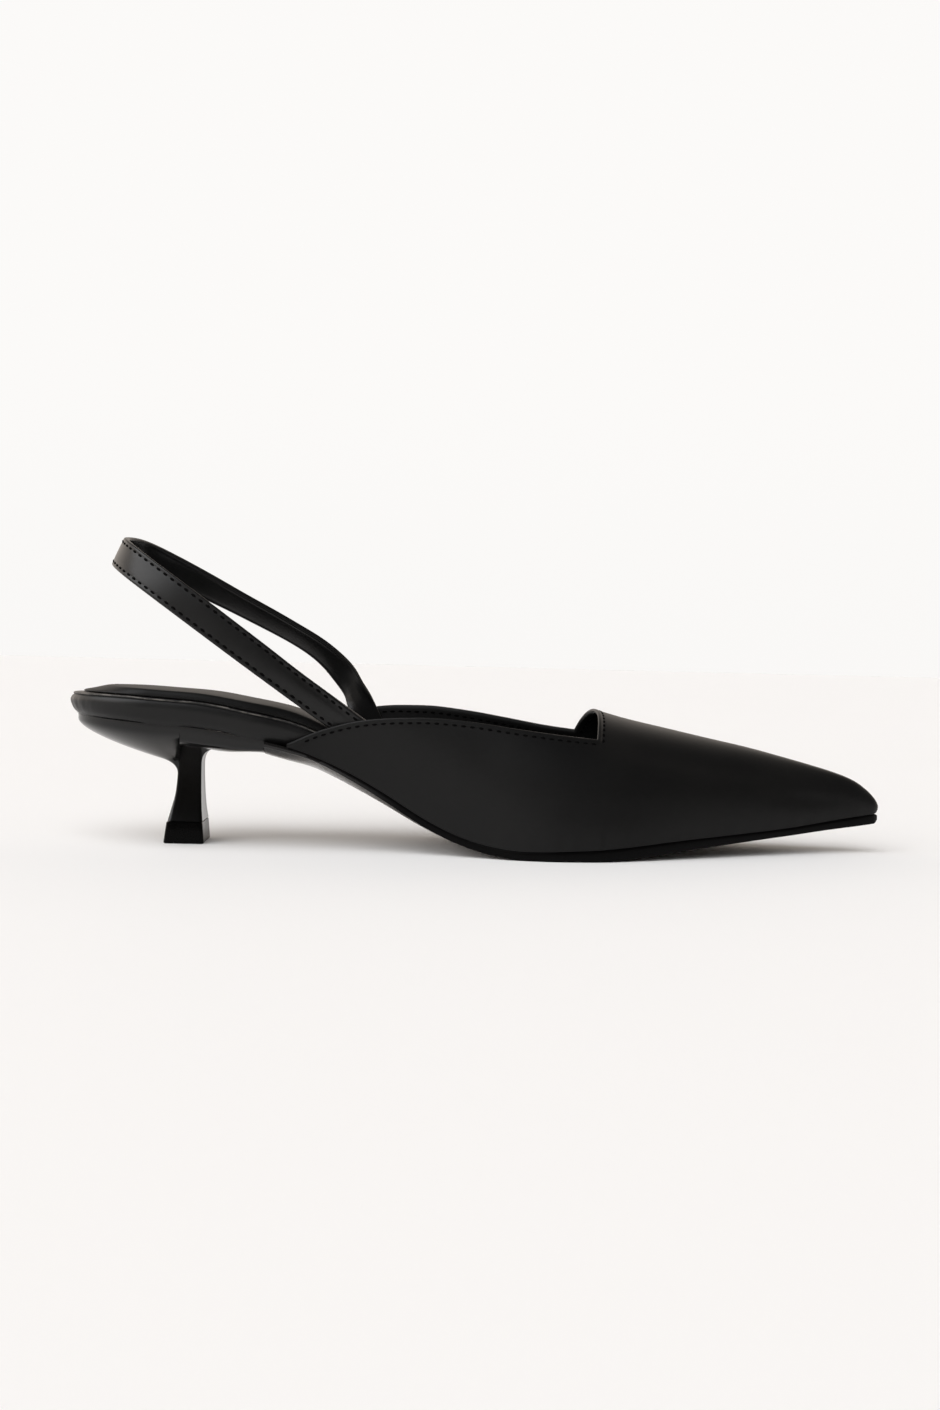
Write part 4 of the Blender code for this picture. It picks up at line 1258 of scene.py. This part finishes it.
FLOOR_SIZE = 14.0
mesh = bmesh.new()
bmesh.ops.create_grid(mesh, x_segments=8, y_segments=8, size=FLOOR_SIZE)
floor = as_object(mesh, "floor", [floor_finish()])
print("floor:", 2 * FLOOR_SIZE, "m wide")

# %% Light
def add_light(name, energy, place, spread, colour):
    """A wide, far lamp at a place, turned to the shoe, with its spread in degrees."""
    data = bpy.data.lights.new(name, "SUN")
    data.energy, data.angle, data.color = energy, math.radians(spread), colour
    lamp = bpy.data.objects.new(name, data)
    lamp.location = place
    lamp.rotation_euler = (-Vector(place)).to_track_quat("-Z", "Y").to_euler()
    bpy.context.scene.collection.objects.link(lamp)
    return lamp


COOL, WHITE = (0.97, 0.98, 1.0), (1.0, 1.0, 1.0)
gleam = add_light("soft_box", 2.80, (-0.78, -0.42, 1.0), 60.0, COOL)
glow = add_light("soft_box_glow", 3.18, (-0.65, -0.80, 1.1), 80.0, COOL)
fill = add_light("front_fill", 0.40, (0.25, -1.0, 0.5), 90.0, WHITE)
gleam.visible_diffuse = glow.visible_glossy = fill.visible_glossy = False
ROOM_LIGHT, ROOM_SEEN = (1.0, 0.90, 0.81), (0.968, 0.955, 0.940)


def pale_room():
    """A world that is bright behind the shoe and dim on the camera's side; the camera itself sees white."""
    world = bpy.data.worlds.new("pale room")
    room = Network(world)
    way = room.node("ShaderNodeTexCoord", {}, {}, "Generated")
    along, across, upward = (room.part(way, axis) for axis in "XYZ")
    behind = room.steps(across, -0.3, 0.5, 0.07, 0.95)
    heel_side = room.steps(along, -0.9, -0.1, 0.80, 0.0)
    low = room.steps(upward, 0.35, 0.85, 1.0, 0.10)
    paler = room.steps(upward, 0.0, 0.2, 0.985, 1.0)
    lit, seen = (
        room.node("ShaderNodeBackground", {}, {"Color": (*colour, 1.0), "Strength": strength})
        for colour, strength in ((ROOM_LIGHT, (behind + heel_side) * low), (ROOM_SEEN, paler))
    )
    by_camera = room.node("ShaderNodeLightPath", {}, {}, "Is Camera Ray")
    mix = room.node("ShaderNodeMixShader", {}, {"Fac": by_camera, 1: lit, 2: seen})
    room.tree.nodes.remove(room.tree.nodes["Background"])
    room.tree.links.new(mix.socket, room.tree.nodes["World Output"].inputs["Surface"])
    return world


bpy.context.scene.world = pale_room()
bpy.context.scene.view_settings.view_transform = "Standard"
print("light: a soft box of two lamps, a weak fill and a pale room")

# %% Camera
CAMERA_DISTANCE, CAMERA_HEIGHT, CAMERA_STATION = 520.0, 62.0, 132.0
CAMERA_YAW, CAMERA_PITCH, CAMERA_ROLL = (math.radians(angle) for angle in (2.5, 1.65, 1.4))
FILM_HEIGHT, FOCAL_PIXELS, FRAME_PIXELS = 36.0, 1566.0, 1410.0

level = Vector((math.sin(CAMERA_YAW), math.cos(CAMERA_YAW), 0.0))
forward = level * math.cos(CAMERA_PITCH) - Vector((0.0, 0.0, math.sin(CAMERA_PITCH)))
right = Vector((math.cos(CAMERA_YAW), -math.sin(CAMERA_YAW), 0.0))
up = right.cross(forward)
right, up = (
    right * math.cos(CAMERA_ROLL) + up * math.sin(CAMERA_ROLL),
    up * math.cos(CAMERA_ROLL) - right * math.sin(CAMERA_ROLL),
)
camera_data = bpy.data.cameras.new("camera")
camera_data.lens = FILM_HEIGHT * FOCAL_PIXELS / FRAME_PIXELS
camera_data.clip_start = 0.01
camera = bpy.data.objects.new("camera", camera_data)
place = in_frame(CAMERA_STATION, 0.0, CAMERA_HEIGHT) - level * CAMERA_DISTANCE * MM
turn = Matrix((right, up, -forward)).transposed()
camera.matrix_world = Matrix.Translation(place) @ turn.to_4x4()
bpy.context.scene.collection.objects.link(camera)
bpy.context.scene.camera = camera
print("camera at", [round(value, 3) for value in place])
